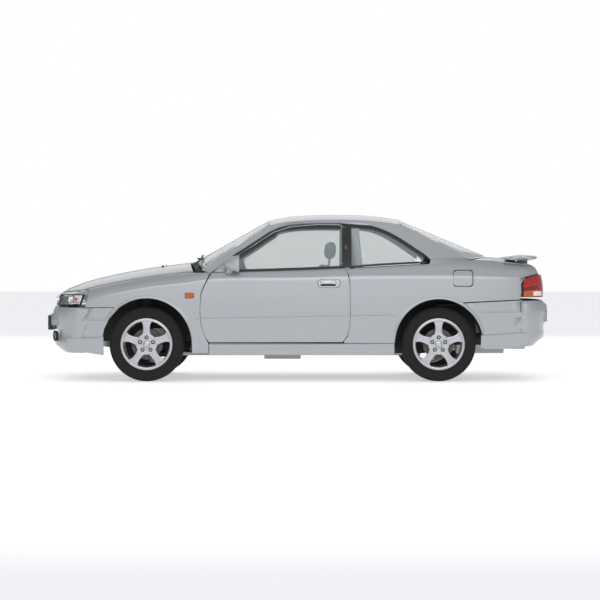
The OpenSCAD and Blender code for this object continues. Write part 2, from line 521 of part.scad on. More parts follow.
module rear_axle() {
  for (s = [-1, 1]) {
    translate([axle_r, s * 300, tyre_r]) rotate([s * -90, 0, 0]) cylinder(h = track / 2 - 300 - 30 - clear - 1, r = 30, $fn = 32);
    bar([[1184, s * 585, 310], [1000, s * 580, 290], [860, s * 575, 305]], 44, 44);
    translate([axle_r + 60, s * 570, tyre_r]) {
      cylinder(h = 300, r = 24, $fn = 32);
      translate([0, 0, 120]) cylinder(h = 200, r = 50, $fn = 32);
    }
    bx([1180, s * 555, 280], [1260, s * 620, 330]);
    bx([1170, s * 516.2, 632], [1330, s * 660, 650]);
  }
  translate([axle_r, 0, tyre_r]) rotate([90, 0, 0]) cylinder(h = 640, r = 38, center = true, $fn = 32);
}
module pipe_y(x, y, z, l, r) {
  translate([mx(x), my(y), mz(z)]) rotate([0, 90, 0]) cylinder(h = l, r = r, $fn = 32);
}
module exhaust() {
  pipe_y(-1100, 0, 214, 2000, 24);
  pipe_y(-300, 0, 214, 320, 56);
  bar([[880, 0, 214], [960, 150, 222], [1290, 300, 232], [1420, 330, 250]], 44, 44);
  pipe_y(1410, 340, 270, 420, 76);
  pipe_y(1820, 380, 262, 150, 26);
  difference() {
    pipe_y(1960, 380, 262, 66, 30);
    pipe_y(1972, 380, 262, 90, 26);
  }
}
module fuel_tank() {
  bx([822, -430, 225], [1090, -40, 407.8]);
}
module wheel_arch_liners() {
  for (s = [-1, 1]) {
    for (c = [[AF, RF - 3, 20, 156, 600], [AR, RR - 3, 4, 176, 516.2]])
      shell([for (k = [0:14]) let(a = c[2] + (c[3] - c[2]) * k / 14) [for (y = [c[4], 700, 812]) [c[0][0] + c[1] * cos(a), s * y, c[0][1] + c[1] * sin(a)]]],
        [for (k = [0:14]) let(a = c[2] + (c[3] - c[2]) * k / 14) [for (y = [c[4], 700, 812]) [c[0][0] + (c[1] + 3) * cos(a), s * y, c[0][1] + (c[1] + 3) * sin(a)]]]);
  }
}
module dashboard() {
  bx([-818, -680, 700], [-560, 680, 905]);
  bx([-700, -110, 405], [-540, 110, 700]);
  hull() {
    bx([-560, -430, 880], [-555, -260, 905]);
    bx([-810, -450, 900], [-650, -240, 938]);
  }
  // Steering column.
  translate([mx(-560), my(-seat_y), mz(800)]) rotate([0, 68, 0]) cylinder(h = 116, r = 30, $fn = 32);
  bx([-895.8, -680, 560], [-800, 680, 700]);
}
module steering_wheel() {
  translate([mx(-428), my(-seat_y), mz(853)]) rotate([0, 68, 0]) {
    rotate_extrude($fn = 48) translate([steer_d / 2 - 14, 0]) circle(r = 14, $fn = 20);
    translate([0, 0, -14]) cylinder(h = 30, r = 62, $fn = 32);
    for (a = [0, 120, 240]) rotate(a) translate([40, -16, -8]) cube([steer_d / 2 - 56, 32, 14]);
  }
}
module seat(x, y, w) {
  bx([x - 240, y - w / 2, 330], [x + 250, y + w / 2, 470]);
  bar([[x + 230, y, 400], [x + 300, y, 640], [x + 390, y, 985]], w, 130);
  bar([[x + 398, y, 1040], [x + 408, y, 1170]], 250, 90);
  for (d = [-60, 60]) bar([[x + 388, y + d, 970], [x + 404, y + d, 1070]], 12, 12);
  for (d = [-1, 1]) bx([x - 200, y + d * (w / 2 - 60), 252.3], [x + 200, y + d * (w / 2 - 90), 331]);
}
module front_seats() {
  for (s = [-1, 1]) seat(-110, s * seat_y, seat_w);
}
module rear_seat() {
  bx([706.5, -500, 420.5], [1120, 500, 560]);
  bar([[1010, 0, 480], [1065, 0, 700], [1120, 0, 930]], 1000, 90);
}

color(grey) floor_pan();
color(silver) roof_panel();
color(silver) body_side(-1);  // body_side_left
color(silver) body_side(1);  // body_side_right
color(silver) fender(-1);  // front_fender_left
color(silver) fender(1);  // front_fender_right
color(silver) front_bumper();
color(silver) rear_bumper();
color(silver) side_skirts();
color(black) grille();
color(tint) headlamps();
color([0.7, 0.05, 0.05]) taillamps();
color(tint) windshield();
color(tint) rear_window();
color(tint) quarter_windows();
color(black) cowl_panel();
color(black) wipers();
color(grey) dashboard();
color(grey) front_seats();
color(grey) rear_seat();
color(steel) engine();
color(black) front_subframe();
color(black) rear_axle();
color(steel) exhaust();
color(black) fuel_tank();
color(black) wheel_arch_liners();
color(silver) door(-1);  // door_left
color(silver) door(1);  // door_right
color(tint) door_window(-1);  // door_window_left
color(tint) door_window(1);  // door_window_right
color(silver) door_mirror(-1);  // door_mirror_left
color(silver) door_mirror(1);  // door_mirror_right
color(silver) hood();
color(silver) trunk_lid();
color(silver) rear_spoiler();
color(silver) fuel_flap();
color(black) steering_wheel();
color(steel) knuckle(-1);  // knuckle_left
color(steel) knuckle(1);  // knuckle_right
color(steel) place(axle_f, -1) wheel_shape();  // wheel_front_left
color(steel) place(axle_f, 1) wheel_shape();  // wheel_front_right
color(steel) place(axle_r, -1) wheel_shape();  // wheel_rear_left
color(steel) place(axle_r, 1) wheel_shape();  // wheel_rear_right
color(black) place(axle_f, -1) tyre_shape();  // tyre_front_left
color(black) place(axle_f, 1) tyre_shape();  // tyre_front_right
color(black) place(axle_r, -1) tyre_shape();  // tyre_rear_left
color(black) place(axle_r, 1) tyre_shape();  // tyre_rear_right
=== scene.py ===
import bpy
import json
import math
from mathutils import Vector, Matrix


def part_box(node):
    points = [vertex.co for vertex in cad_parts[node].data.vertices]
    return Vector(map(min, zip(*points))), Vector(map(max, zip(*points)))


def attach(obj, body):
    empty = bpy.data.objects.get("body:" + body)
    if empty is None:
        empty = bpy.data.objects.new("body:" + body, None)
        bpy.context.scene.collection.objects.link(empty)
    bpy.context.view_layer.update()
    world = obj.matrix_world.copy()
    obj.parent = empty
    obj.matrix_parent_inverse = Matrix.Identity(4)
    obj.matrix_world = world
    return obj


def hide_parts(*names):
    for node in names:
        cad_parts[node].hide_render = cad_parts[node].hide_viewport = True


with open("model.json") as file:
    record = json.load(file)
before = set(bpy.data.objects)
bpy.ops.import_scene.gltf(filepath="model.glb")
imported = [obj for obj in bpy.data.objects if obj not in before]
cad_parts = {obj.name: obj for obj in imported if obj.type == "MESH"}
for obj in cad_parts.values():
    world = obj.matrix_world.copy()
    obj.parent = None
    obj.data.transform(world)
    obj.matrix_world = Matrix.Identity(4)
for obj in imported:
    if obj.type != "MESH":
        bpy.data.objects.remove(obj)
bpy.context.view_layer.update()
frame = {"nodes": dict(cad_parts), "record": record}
NODES = frame["nodes"]


# ---------------------------------------------------------------- finishes

def finish_of(name, base, second, scale=40.0, detail=3.0, rough=(0.3, 0.4), metal=0.0,
              bump=0.0, bump_scale=None, coat=0.0, coat_rough=0.05, spec=0.5, stretch=(1, 1, 1)):
    """A procedural finish: two close colours and two roughness values mixed by noise."""
    m = bpy.data.materials.new(name)
    m.use_nodes = True
    n, l = m.node_tree.nodes, m.node_tree.links
    b = n["Principled BSDF"]
    tc = n.new("ShaderNodeTexCoord")
    mp = n.new("ShaderNodeMapping")
    mp.inputs["Scale"].default_value = stretch
    l.new(tc.outputs["Object"], mp.inputs["Vector"])
    no = n.new("ShaderNodeTexNoise")
    no.inputs["Scale"].default_value = scale
    no.inputs["Detail"].default_value = detail
    l.new(mp.outputs["Vector"], no.inputs["Vector"])
    cr = n.new("ShaderNodeValToRGB")
    cr.color_ramp.elements[0].position = 0.35
    cr.color_ramp.elements[1].position = 0.65
    cr.color_ramp.elements[0].color = (*base, 1)
    cr.color_ramp.elements[1].color = (*second, 1)
    l.new(no.outputs["Fac"], cr.inputs["Fac"])
    l.new(cr.outputs["Color"], b.inputs["Base Color"])
    mr = n.new("ShaderNodeMapRange")
    mr.inputs["To Min"].default_value = rough[0]
    mr.inputs["To Max"].default_value = rough[1]
    l.new(no.outputs["Fac"], mr.inputs["Value"])
    l.new(mr.outputs["Result"], b.inputs["Roughness"])
    b.inputs["Metallic"].default_value = metal
    b.inputs["Specular IOR Level"].default_value = spec
    if coat:
        b.inputs["Coat Weight"].default_value = coat
        b.inputs["Coat Roughness"].default_value = coat_rough
    if bump:
        nb = n.new("ShaderNodeTexNoise")
        nb.inputs["Scale"].default_value = bump_scale or scale * 4
        nb.inputs["Detail"].default_value = 2.0
        l.new(mp.outputs["Vector"], nb.inputs["Vector"])
        bu = n.new("ShaderNodeBump")
        bu.inputs["Strength"].default_value = bump
        bu.inputs["Distance"].default_value = 0.002
        l.new(nb.outputs["Fac"], bu.inputs["Height"])
        l.new(bu.outputs["Normal"], b.inputs["Normal"])
    return m


def glass_of(name, colour, alpha, rough=0.02):
    m = finish_of(name, colour, tuple(c * 0.96 for c in colour), scale=3.0, rough=(rough, rough + 0.01), spec=0.6)
    b = m.node_tree.nodes["Principled BSDF"]
    b.inputs["Alpha"].default_value = alpha
    b.inputs["IOR"].default_value = 1.45
    return m


PAINT = finish_of("silver_paint", (0.385, 0.4, 0.42), (0.415, 0.43, 0.45), scale=900, rough=(0.38, 0.46),
                  metal=0.35, coat=0.35, coat_rough=0.12)
TRIM = finish_of("black_trim", (0.012, 0.012, 0.013), (0.02, 0.02, 0.021), scale=120, rough=(0.35, 0.5))
SEAL = finish_of("seal_rubber", (0.006, 0.006, 0.006), (0.012, 0.012, 0.012), scale=90, rough=(0.6, 0.75))
PLASTIC = finish_of("rough_plastic", (0.02, 0.02, 0.021), (0.03, 0.03, 0.031), scale=200, rough=(0.55, 0.7),
                    bump=0.25)
DASH = finish_of("dash_plastic", (0.05, 0.05, 0.052), (0.065, 0.065, 0.067), scale=150, rough=(0.5, 0.65), bump=0.3)
UNDER = finish_of("underbody_coat", (0.02, 0.02, 0.02), (0.035, 0.033, 0.03), scale=25, rough=(0.6, 0.85), bump=0.4)
GLASS = glass_of("tinted_glass", (0.55, 0.63, 0.62), 0.22)
SCREEN = glass_of("screen_glass", (0.42, 0.5, 0.49), 0.42)
CLEAR = glass_of("lamp_glass", (0.85, 0.87, 0.9), 0.16)
RED = finish_of("red_lens", (0.36, 0.006, 0.006), (0.42, 0.01, 0.01), scale=60, rough=(0.1, 0.16), coat=1.0)
DARKRED = finish_of("dark_red_lens", (0.16, 0.008, 0.01), (0.2, 0.012, 0.012), scale=60, rough=(0.1, 0.16), coat=1.0)
AMBER = finish_of("amber_lens", (0.5, 0.09, 0.008), (0.58, 0.12, 0.012), scale=60, rough=(0.1, 0.18), coat=1.0)
WHITE = finish_of("white_lens", (0.75, 0.75, 0.76), (0.85, 0.85, 0.86), scale=60, rough=(0.1, 0.18), coat=1.0)
MIRROR = finish_of("reflector", (0.75, 0.76, 0.78), (0.82, 0.83, 0.85), scale=30, rough=(0.05, 0.1), metal=1.0)
ALLOY = finish_of("wheel_silver", (0.48, 0.49, 0.51), (0.53, 0.54, 0.56), scale=500, rough=(0.28, 0.36), metal=0.6,
                  coat=0.5, coat_rough=0.1)
STEEL = finish_of("brushed_steel", (0.38, 0.37, 0.36), (0.5, 0.49, 0.48), scale=30, rough=(0.3, 0.45), metal=1.0,
                  stretch=(1, 1, 12))
IRON = finish_of("cast_iron", (0.12, 0.11, 0.1), (0.18, 0.16, 0.15), scale=50, rough=(0.55, 0.75), metal=0.6,
                 bump=0.3)
CASTING = finish_of("cast_alloy", (0.28, 0.28, 0.28), (0.34, 0.34, 0.34), scale=70, rough=(0.5, 0.65), metal=0.8,
                    bump=0.3)
TYRE = finish_of("tyre_rubber", (0.006, 0.006, 0.006), (0.011, 0.011, 0.011), scale=60, rough=(0.62, 0.8), spec=0.3,
                 bump=0.2,
                 bump_scale=400)
CLOTH = finish_of("seat_cloth", (0.08, 0.08, 0.085), (0.14, 0.14, 0.145), scale=320, rough=(0.85, 0.95), bump=0.5,
                  bump_scale=600)
PLATE = finish_of("blank_plate", (0.8, 0.8, 0.78), (0.84, 0.84, 0.82), scale=20, rough=(0.35, 0.45))


def paint_node(name, m):
    me = NODES[name].data
    me.materials.clear()
    me.materials.append(m)


LOOKS = {
    PAINT: ["roof_panel", "body_side_left", "body_side_right", "front_fender_left", "front_fender_right",
            "front_bumper",
            "rear_bumper", "side_skirts", "door_left", "door_right", "door_mirror_left", "door_mirror_right", "hood",
            "trunk_lid", "rear_spoiler", "fuel_flap"],
    PLASTIC: ["grille", "cowl_panel", "wipers", "wheel_arch_liners", "fuel_tank"],
    UNDER: ["floor_pan", "front_subframe", "rear_axle"],
    GLASS: ["quarter_windows", "door_window_left", "door_window_right"],
    SCREEN: ["windshield", "rear_window"],
    CLEAR: ["headlamps"], RED: ["taillamps"], DASH: ["dashboard", "steering_wheel"],
    CLOTH: ["front_seats", "rear_seat"], CASTING: ["engine"], IRON: ["knuckle_left", "knuckle_right"],
    STEEL: ["exhaust"],
    ALLOY: ["wheel_front_left", "wheel_front_right", "wheel_rear_left", "wheel_rear_right"],
    TYRE: ["tyre_front_left", "tyre_front_right", "tyre_rear_left", "tyre_rear_right"],
}
for m, names in LOOKS.items():
    for nm in names:
        paint_node(nm, m)


# ---------------------------------------------------------------- studio

def light(name, loc, rot, size, power, size_y=None):
    d = bpy.data.lights.new(name, "AREA")
    d.energy = power
    d.size = size
    if size_y:
        d.shape = "RECTANGLE"
        d.size_y = size_y
    o = bpy.data.objects.new(name, d)
    o.location = loc
    o.rotation_euler = rot
    bpy.context.scene.collection.objects.link(o)
    return o


bpy.ops.object.select_all(action="DESELECT")
bpy.ops.mesh.primitive_plane_add(size=120, location=(0, 0, -0.0005))
floor = bpy.context.object
floor.name = "studio_floor"
fm = finish_of("studio_white", (0.88, 0.88, 0.89), (0.9, 0.9, 0.91), scale=2, rough=(0.6, 0.7))
soft = fm.node_tree.nodes["Principled BSDF"]
soft.inputs["Emission Color"].default_value = (1, 1, 1, 1)
soft.inputs["Emission Strength"].default_value = 0.5
floor.data.materials.append(fm)
world = bpy.data.worlds.new("studio")
world.use_nodes = True
wn, wl = world.node_tree.nodes, world.node_tree.links
seen, lit, pathn, mixer = (wn.new("ShaderNodeBackground"), wn["Background"], wn.new("ShaderNodeLightPath"),
                           wn.new("ShaderNodeMixShader"))
lit.inputs["Color"].default_value = (0.93, 0.95, 1.0, 1)
lit.inputs["Strength"].default_value = 0.42
seen.inputs["Color"].default_value = (1, 1, 1, 1)
seen.inputs["Strength"].default_value = 1.0
wl.new(pathn.outputs["Is Camera Ray"], mixer.inputs["Fac"])
wl.new(lit.outputs["Background"], mixer.inputs[1])
wl.new(seen.outputs["Background"], mixer.inputs[2])
wl.new(mixer.outputs["Shader"], wn["World Output"].inputs["Surface"])
bpy.context.scene.world = world
light("top_softbox", (0, -0.8, 6.5), (math.radians(-6), 0, 0), 9, 60, 5)
light("side_softbox", (0.5, -10.5, 5.0), (math.radians(66), 0, 0), 10, 400, 3.5)
light("fill_softbox", (0, 10, 4.5), (math.radians(-66), 0, 0), 10, 140, 3.5)

LENS_MM = 136.53
CAMERA_PLACE = (0.015, -20.0, 1.0)
CAMERA_DOWN_DEG = 0.929
cam_data = bpy.data.cameras.new("camera")
cam_data.lens = LENS_MM
cam_data.sensor_width = 36
cam = bpy.data.objects.new("camera", cam_data)
cam.location = CAMERA_PLACE
cam.rotation_euler = (math.radians(90 - CAMERA_DOWN_DEG), 0, 0)
bpy.context.scene.collection.objects.link(cam)
bpy.context.scene.camera = cam
bpy.context.scene.view_settings.view_transform = "Standard"


# ---------------------------------------------------------------- modelling helpers

MM = 0.001
X_SHIFT = -3.61      # from the car's own stations to the shared frame, in millimetres
LEFT, RIGHT = -1, 1
SIDE_NAME = {LEFT: "left", RIGHT: "right"}
BODY_OF = {n: b for b, ns in frame["record"]["behaviour"]["bodies"].items() for n in ns}


def pt(x, y, z):
    return Vector(((x + X_SHIFT) * MM, y * MM, z * MM))


def curve(table, x):
    """Smooth curve through a few pairs, level beyond the ends."""
    if x <= table[0][0]:
        return table[0][1]
    if x >= table[-1][0]:
        return table[-1][1]
    i = max(k for k in range(len(table) - 1) if table[k][0] <= x)

    def slope(k):
        a, b = max(0, k - 1), min(len(table) - 1, k + 1)
        return (table[b][1] - table[a][1]) / (table[b][0] - table[a][0])
    (x0, a), (x1, b) = table[i], table[i + 1]
    h, u = x1 - x0, (x - x0) / (x1 - x0)
    return (a * (2 * u**3 - 3 * u * u + 1) + b * (3 * u * u - 2 * u**3)
            + h * (slope(i) * (u**3 - 2 * u * u + u) + slope(i + 1) * (u**3 - u * u)))


WIDTH_PLAN = [(-2000, 735), (-1850, 790), (-1650, 822), (-1300, 842), (-700, 850), (700, 850), (1200, 846), (1600,
                                                                                                             830),
              (1850, 803), (1960, 772), (2060, 700)]
TUCK_IN = [(220, 42), (330, 18), (430, 6), (553, 0), (700, 4), (820, 12), (1100, 30)]
SHOULDER = [(-1850, 670), (-1600, 728), (-1241, 792), (-936, 827), (-700, 862), (0, 868), (800, 872), (2000, 868)]
ROUNDING = [(-1850, 0.0166), (-1241, 0.0166), (-700, 0.015), (0, 0.0116), (400, 0.008), (800, 0.007), (1472, 0.0068),
            (1794, 0.0106), (2000, 0.011)]
GLASS_TOP = [(-735, 922), (-542, 1070), (-359, 1188), (-213, 1286), (-66, 1326), (178, 1340), (374, 1336), (629,
                                                                                                            1315),
             (748, 1274), (867, 1207), (984, 1129), (1100, 1050)]
BELT = [(-735, 922), (-405, 928), (-17, 940), (386, 957), (741, 981), (1098, 1000)]


def side_y(x, z):
    return curve(WIDTH_PLAN, x) - curve(TUCK_IN, z) - curve(ROUNDING, x) * max(0, z - curve(SHOULDER, x)) ** 2


def glass_y(x, z):
    return 752 - 0.36 * (z - 930) - 0.0002 * (z - 930) ** 2 - 18 * ((x - 150) / 900) ** 2


def deselect():
    if bpy.context.object and bpy.context.object.mode != "OBJECT":
        bpy.ops.object.mode_set(mode="OBJECT")
    bpy.ops.object.select_all(action="DESELECT")


def pick(o):
    deselect()
    o.select_set(True)
    bpy.context.view_layer.objects.active = o


def modify(o, kind, **settings):
    pick(o)
    m = o.modifiers.new(kind, kind)
    for k, v in settings.items():
        setattr(m, k, v)
    bpy.ops.object.modifier_apply(modifier=m.name)


def outward(o):
    pick(o)
    bpy.ops.object.mode_set(mode="EDIT")
    bpy.ops.mesh.select_all(action="SELECT")
    bpy.ops.mesh.normals_make_consistent(inside=False)
    bpy.ops.object.mode_set(mode="OBJECT")


def done(o, name, material, body=None, angle=35):
    """Names a piece, gives it its finish, smooth shading and the body it moves with."""
    pick(o)
    bpy.ops.object.transform_apply(location=True, rotation=True, scale=True)
    o.name = name
    o.data.name = name
    o.data.materials.clear()
    o.data.materials.append(material)
    bpy.ops.object.shade_smooth_by_angle(angle=math.radians(angle))
    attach(o, body or "car_body")
    return o


def place_all(o, points):
    for v, p in zip(o.data.vertices, points):
        v.co = p


def sheet(name, rows, thick, material, body=None, bevel=0.0, out=None, angle=35):
    """A panel through rows of points: a grid set on the surface, thickened inward and softened at its edges."""
    deselect()
    bpy.ops.mesh.primitive_grid_add(x_subdivisions=len(rows[0]) - 1, y_subdivisions=len(rows) - 1, size=1)
    o = bpy.context.object
    place_all(o, [p for r in rows for p in r])
    o.data.update()
    want = out or Vector((0, rows[0][0].y, 0))
    if sum((p.normal * p.area for p in o.data.polygons), Vector()).dot(want) < 0:
        o.data.flip_normals()
    modify(o, "SOLIDIFY", thickness=thick * MM, offset=-1)
    if bevel:
        modify(o, "BEVEL", width=bevel * MM, segments=2, limit_method="ANGLE", angle_limit=math.radians(50))
    outward(o)
    return done(o, name, material, body, angle)


def block(name, corner_a, corner_b, material, body=None, bevel=2.0, segments=2, taper=None, turn=None):
    """A box between two corners with rounded edges; taper narrows the top, turn is (axis, degrees)."""
    deselect()
    bpy.ops.mesh.primitive_cube_add(size=1)
    o = bpy.context.object
    lo = Vector(tuple(min(a, b) for a, b in zip(corner_a, corner_b)))
    hi = Vector(tuple(max(a, b) for a, b in zip(corner_a, corner_b)))
    mid, span = (lo + hi) / 2, hi - lo
    spin = Matrix.Rotation(math.radians(turn[1]), 3, turn[0]) if turn else Matrix.Identity(3)
    for v in o.data.vertices:
        q = Vector((v.co.x * span.x, v.co.y * span.y, v.co.z * span.z))
        if taper and q.z > 0:
            q.x *= taper[0]
            q.y *= taper[1]
        q = mid + spin @ q
        v.co = pt(q.x, q.y, q.z)
    if bevel:
        modify(o, "BEVEL", width=bevel * MM, segments=segments, limit_method="NONE")
    return done(o, name, material, body)


def lathe(name, profile, centre, axis, material, body=None, steps=96, closed=True, angle=30):
    """A turned piece: profile of (radius, along) in millimetres, spun round the axis through the centre."""
    me = bpy.data.meshes.new(name)
    edges = [(i, i + 1) for i in range(len(profile) - 1)] + ([(len(profile) - 1, 0)] if closed else [])
    me.from_pydata([(r * MM, 0, h * MM) for r, h in profile], edges, [])
    o = bpy.data.objects.new(name, me)
    bpy.context.scene.collection.objects.link(o)
    modify(o, "SCREW", angle=2 * math.pi, steps=steps, render_steps=steps, axis="Z", use_merge_vertices=True,
           merge_threshold=1e-6)
    q = Vector((0, 0, 1)).rotation_difference(Vector(axis).normalized()).to_matrix().to_4x4()
    o.data.transform(Matrix.Translation(centre) @ q)
    outward(o)
    return done(o, name, material, body, angle)


def join(name, parts):
    deselect()
    for p in parts:
        p.select_set(True)
    bpy.context.view_layer.objects.active = parts[0]
    bpy.ops.object.join()
    o = bpy.context.object
    o.name = name
    o.data.name = name
    return o


def copy_of(o, name, move, body):
    """Another piece of the same shape with its own mesh, moved by a matrix (a mirror turns its faces round)."""
    c = o.copy()
    c.data = o.data.copy()
    bpy.context.scene.collection.objects.link(c)
    c.name = name
    c.data.name = name
    c.parent = None
    c.matrix_world = Matrix.Identity(4)
    c.data.transform(move)
    if move.determinant() < 0:
        c.data.flip_normals()
    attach(c, body)
    return c


def smooth_panel(node, name, material, angle=38):
    """A finished panel from a body node: seams merged and shaded as one smooth skin."""
    src = NODES[node]
    o = src.copy()
    o.data = src.data.copy()
    bpy.context.scene.collection.objects.link(o)
    o.parent = None
    o.matrix_world = Matrix.Identity(4)
    for key in list(o.keys()):
        del o[key]
    pick(o)
    bpy.ops.object.mode_set(mode="EDIT")
    bpy.ops.mesh.select_all(action="SELECT")
    bpy.ops.mesh.remove_doubles(threshold=0.00005)
    bpy.ops.object.mode_set(mode="OBJECT")
    done(o, name, material, BODY_OF[node], angle)
    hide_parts(node)
    return o


# ---------------------------------------------------------------- painted panels

for node in ("roof_panel", "front_fender_left", "front_fender_right", "body_side_left", "body_side_right",
             "door_left",
             "door_right", "hood", "trunk_lid", "front_bumper", "rear_bumper", "side_skirts", "rear_spoiler"):
    smooth_panel(node, node + "_skin", PAINT)
for node, m in (("windshield", SCREEN), ("rear_window", SCREEN), ("door_window_left", GLASS), ("door_window_right",
                                                                                               GLASS),
                ("quarter_windows", GLASS), ("dashboard", DASH), ("cowl_panel", PLASTIC), ("wheel_arch_liners",
                                                                                           PLASTIC)):
    smooth_panel(node, node + "_finish", m)


# ---------------------------------------------------------------- black bands round the side glass

def spread(a, b, n):
    return [a + (b - a) * k / n for k in range(n + 1)]


def on_glass(x, z, s, out):
    return pt(x, s * (glass_y(x, z) + out), z)


def band(name, path_a, path_b, s, out, thick, material, body):
    rows = [[on_glass(x, z, s, out) for x, z in path] for path in (path_a, [((a[0] + b[0]) / 2,
                                                                             (a[1] + b[1]) / 2) for a, b in
            zip(path_a, path_b)], path_b)]
    return sheet(name, rows, thick, material, body, bevel=1.2)


for s in (LEFT, RIGHT):
    side = SIDE_NAME[s]
    door = f"door_{side}_body"
    tops = spread(-640, 372, 28)
    band(f"door_frame_band_{side}", [(x, curve(GLASS_TOP, x) - 10 - (12 if x < -200 else 0)) for x in tops],
         [(x, curve(GLASS_TOP, x) - 44 - (24 if x < -200 else 0)) for x in tops], s, 1.5, 5, TRIM, door)
    belts = spread(-690, 386, 24)
    band(f"door_belt_seal_{side}", [(x, curve(BELT, x) - 4) for x in belts], [(x, curve(BELT,
                                                                                        x) + 20) for x in belts],
         s, 2.0, 9, TRIM, door)
    band(f"door_pillar_cover_{side}", [(376, z) for z in spread(955, 1318, 12)], [(405, z) for z in spread(957,
                                                                                                           1310, 12)],
         s, 2.0, 5, TRIM, door)
    band(f"quarter_pillar_cover_{side}", [(412, z) for z in spread(966, 1318, 12)],
         [(450, z) for z in spread(966, 1316, 12)],
         s, 2.0, 5, TRIM, "car_body")
    q_top = spread(450, 1080, 20)
    band(f"quarter_frame_top_{side}", [(x, curve(GLASS_TOP, x) + 5) for x in q_top],
         [(x, curve(GLASS_TOP, x) - 30) for x in q_top], s, 2.0, 5, TRIM, "car_body")
    q_belt = spread(412, 1090, 20)
    band(f"quarter_belt_seal_{side}", [(x, curve(BELT, x) + 1) for x in q_belt], [(x, curve(BELT,
                                                                                            x) + 16) for x in q_belt],
         s, 2.0, 6, TRIM, "car_body")


# ---------------------------------------------------------------- outside details

def on_side(x, z, s, out=0.0):
    return pt(x, s * (side_y(x, z) + out), z)


def side_patch(name, x0, x1, z0, z1, s, out, thick, material, body, bevel=2.0, nx=10, nz=6, corner=0.0):
    """A patch lying on the body side, its corners pulled in by `corner` millimetres."""
    rows = []
    for k in range(nz + 1):
        z = z0 + (z1 - z0) * k / nz
        pull = 0
        if corner:
            d = min(z - z0, z1 - z)
            pull = corner - math.sqrt(max(0, corner**2 - (corner - min(corner, d)) ** 2))
        rows.append([on_side(x0 + pull + (x1 - x0 - 2 * pull) * j / nx, z, s, out) for j in range(nx + 1)])
    return sheet(name, rows, thick, material, body, bevel)


for s in (LEFT, RIGHT):
    side = SIDE_NAME[s]
    door = f"door_{side}_body"
    # Door handle: a rounded bezel, painted shade for its grip recess (a dark patch on the bezel, not a hollow), the
    # pull bar and the lock.
    side_patch(f"handle_line_{side}", 166, 359, 792, 864, s, 1.6, 3, SEAL, door, 0.6, corner=34, nz=16)
    side_patch(f"handle_bezel_{side}", 170, 355, 795, 861, s, 5.0, 5, ALLOY, door, 1.6, corner=32, nz=16)
    # Painted shade: this dark patch stands for the shade in the grip recess behind the pull bar.
    side_patch(f"handle_recess_{side}", 190, 322, 806, 824, s, 6.0, 3, SEAL, door, 0.6, corner=9, nz=8)
    bar = [[on_side(x, z, s, 5 + out * math.sin(math.pi * (x - 186) / 142) ** 0.35 if 186 < x < 328 else 5)
            for x in spread(186, 328, 16)] for z, out in ((822, 2), (827, 9), (838, 12), (849, 9), (854, 2))]
    sheet(f"handle_bar_{side}", bar, 4, ALLOY, door, 1.0)
    side_patch(f"key_lock_{side}", 333, 347, 818, 832, s, 7.0, 4, STEEL, door, 0.8, corner=6, nz=8)
    # Side repeater.
    side_patch(f"repeater_base_{side}", -951, -874, 702, 751, s, 2.0, 4, SEAL, "car_body", 1.0, corner=14, nz=10)
    side_patch(f"repeater_lens_{side}", -947, -878, 705.5, 747.5, s, 8.0, 8, AMBER, "car_body", 3.0, corner=13, nz=10)
    # Swage line along the side, a raised rib in three pieces.
    for tag, x0, x1, body in (("fender", -862, -832, "car_body"), ("door", -812, 432, door), ("quarter", 446, 818,
                                                                                              "car_body")):
        xs = spread(x0, x1, 24)
        rib = [[on_side(x, 525 + (x + 870) * 28 / 1685 + dz, s, out) for x in xs]
               for dz, out in ((-16, 0.2), (-5, 3.5), (2, 6.5), (7, 6.0), (12, 0.2))]
        sheet(f"swage_{tag}_{side}", rib, 2, PAINT, body, 0)
    # Skirt ledge.
    xs = spread(-748, 800, 24)
    ledge = [[on_side(x, 296 + (x + 748) * 8 / 1548 + dz, s, out) for x in xs]
             for dz, out in ((-30, 0.2), (-6, 5), (4, 8), (14, 7), (20, 0.2))]
    sheet(f"skirt_ledge_{side}", ledge, 2, PAINT, "car_body", 0)
    # Arch lips.
    for tag, cx, r, a0, a1 in (("front", -1276, 381, 8, 150), ("rear", 1188, 374, 12, 166)):
        steps = spread(a0, a1, 56)
        lip = [[on_side(cx + (r + dr) * math.cos(math.radians(a)), 322 + (r + dr) * math.sin(math.radians(a)), s, out)
                for a in steps] for dr, out in ((0, 1), (3, 5.5), (10, 6), (17, 3.5), (26, 0.3))]
        sheet(f"arch_lip_{tag}_{side}", lip, 3, PAINT, "car_body", 0)
    # Mirror glass, a disc stretched to the oval of the head's flat back.
    lathe(f"mirror_glass_{side}", [(0, 0), (1, 0), (1, 3), (0, 3)], pt(-497, s * 868, 995), (1, 0, 0), MIRROR, door,
          steps=40,
          closed=False)
    o = bpy.data.objects[f"mirror_glass_{side}"]
    for v in o.data.vertices:
        c = pt(-495.5, s * 868, 995)
        d = v.co - c
        v.co = c + Vector((d.x, d.y * 80, d.z * 58))
    # Sail triangle at the foot of the mirror.
    sail = [[on_glass(x, z, s, 3.0) for x in (a, (a + b) / 2, b)] for z, a, b in
            ((926, -712, -596), (950, -690, -600), (975, -664, -604), (1000, -636, -608))]
    sheet(f"mirror_sail_{side}", sail, 6, PAINT, door, 1.5)

# Fuel flap, on the left side only.
side_patch("fuel_flap_skin", 1314, 1474, 807, 937, LEFT, 0.6, 4, PAINT, "fuel_flap_body", 1.0, corner=26, nz=20)
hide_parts("fuel_flap")

# Plates, blank.
block("front_plate", (-2168, -255, 428), (-2163, 255, 542), PLATE, bevel=1.5)

# Exhaust tip.
lathe("exhaust_tip", [(31, 0), (31, 50), (30, 53), (27.5, 54), (26.2, 52), (26.2, 2), (27, 0)],
      pt(1974, 380, 262), (1, 0, 0), STEEL, steps=64)

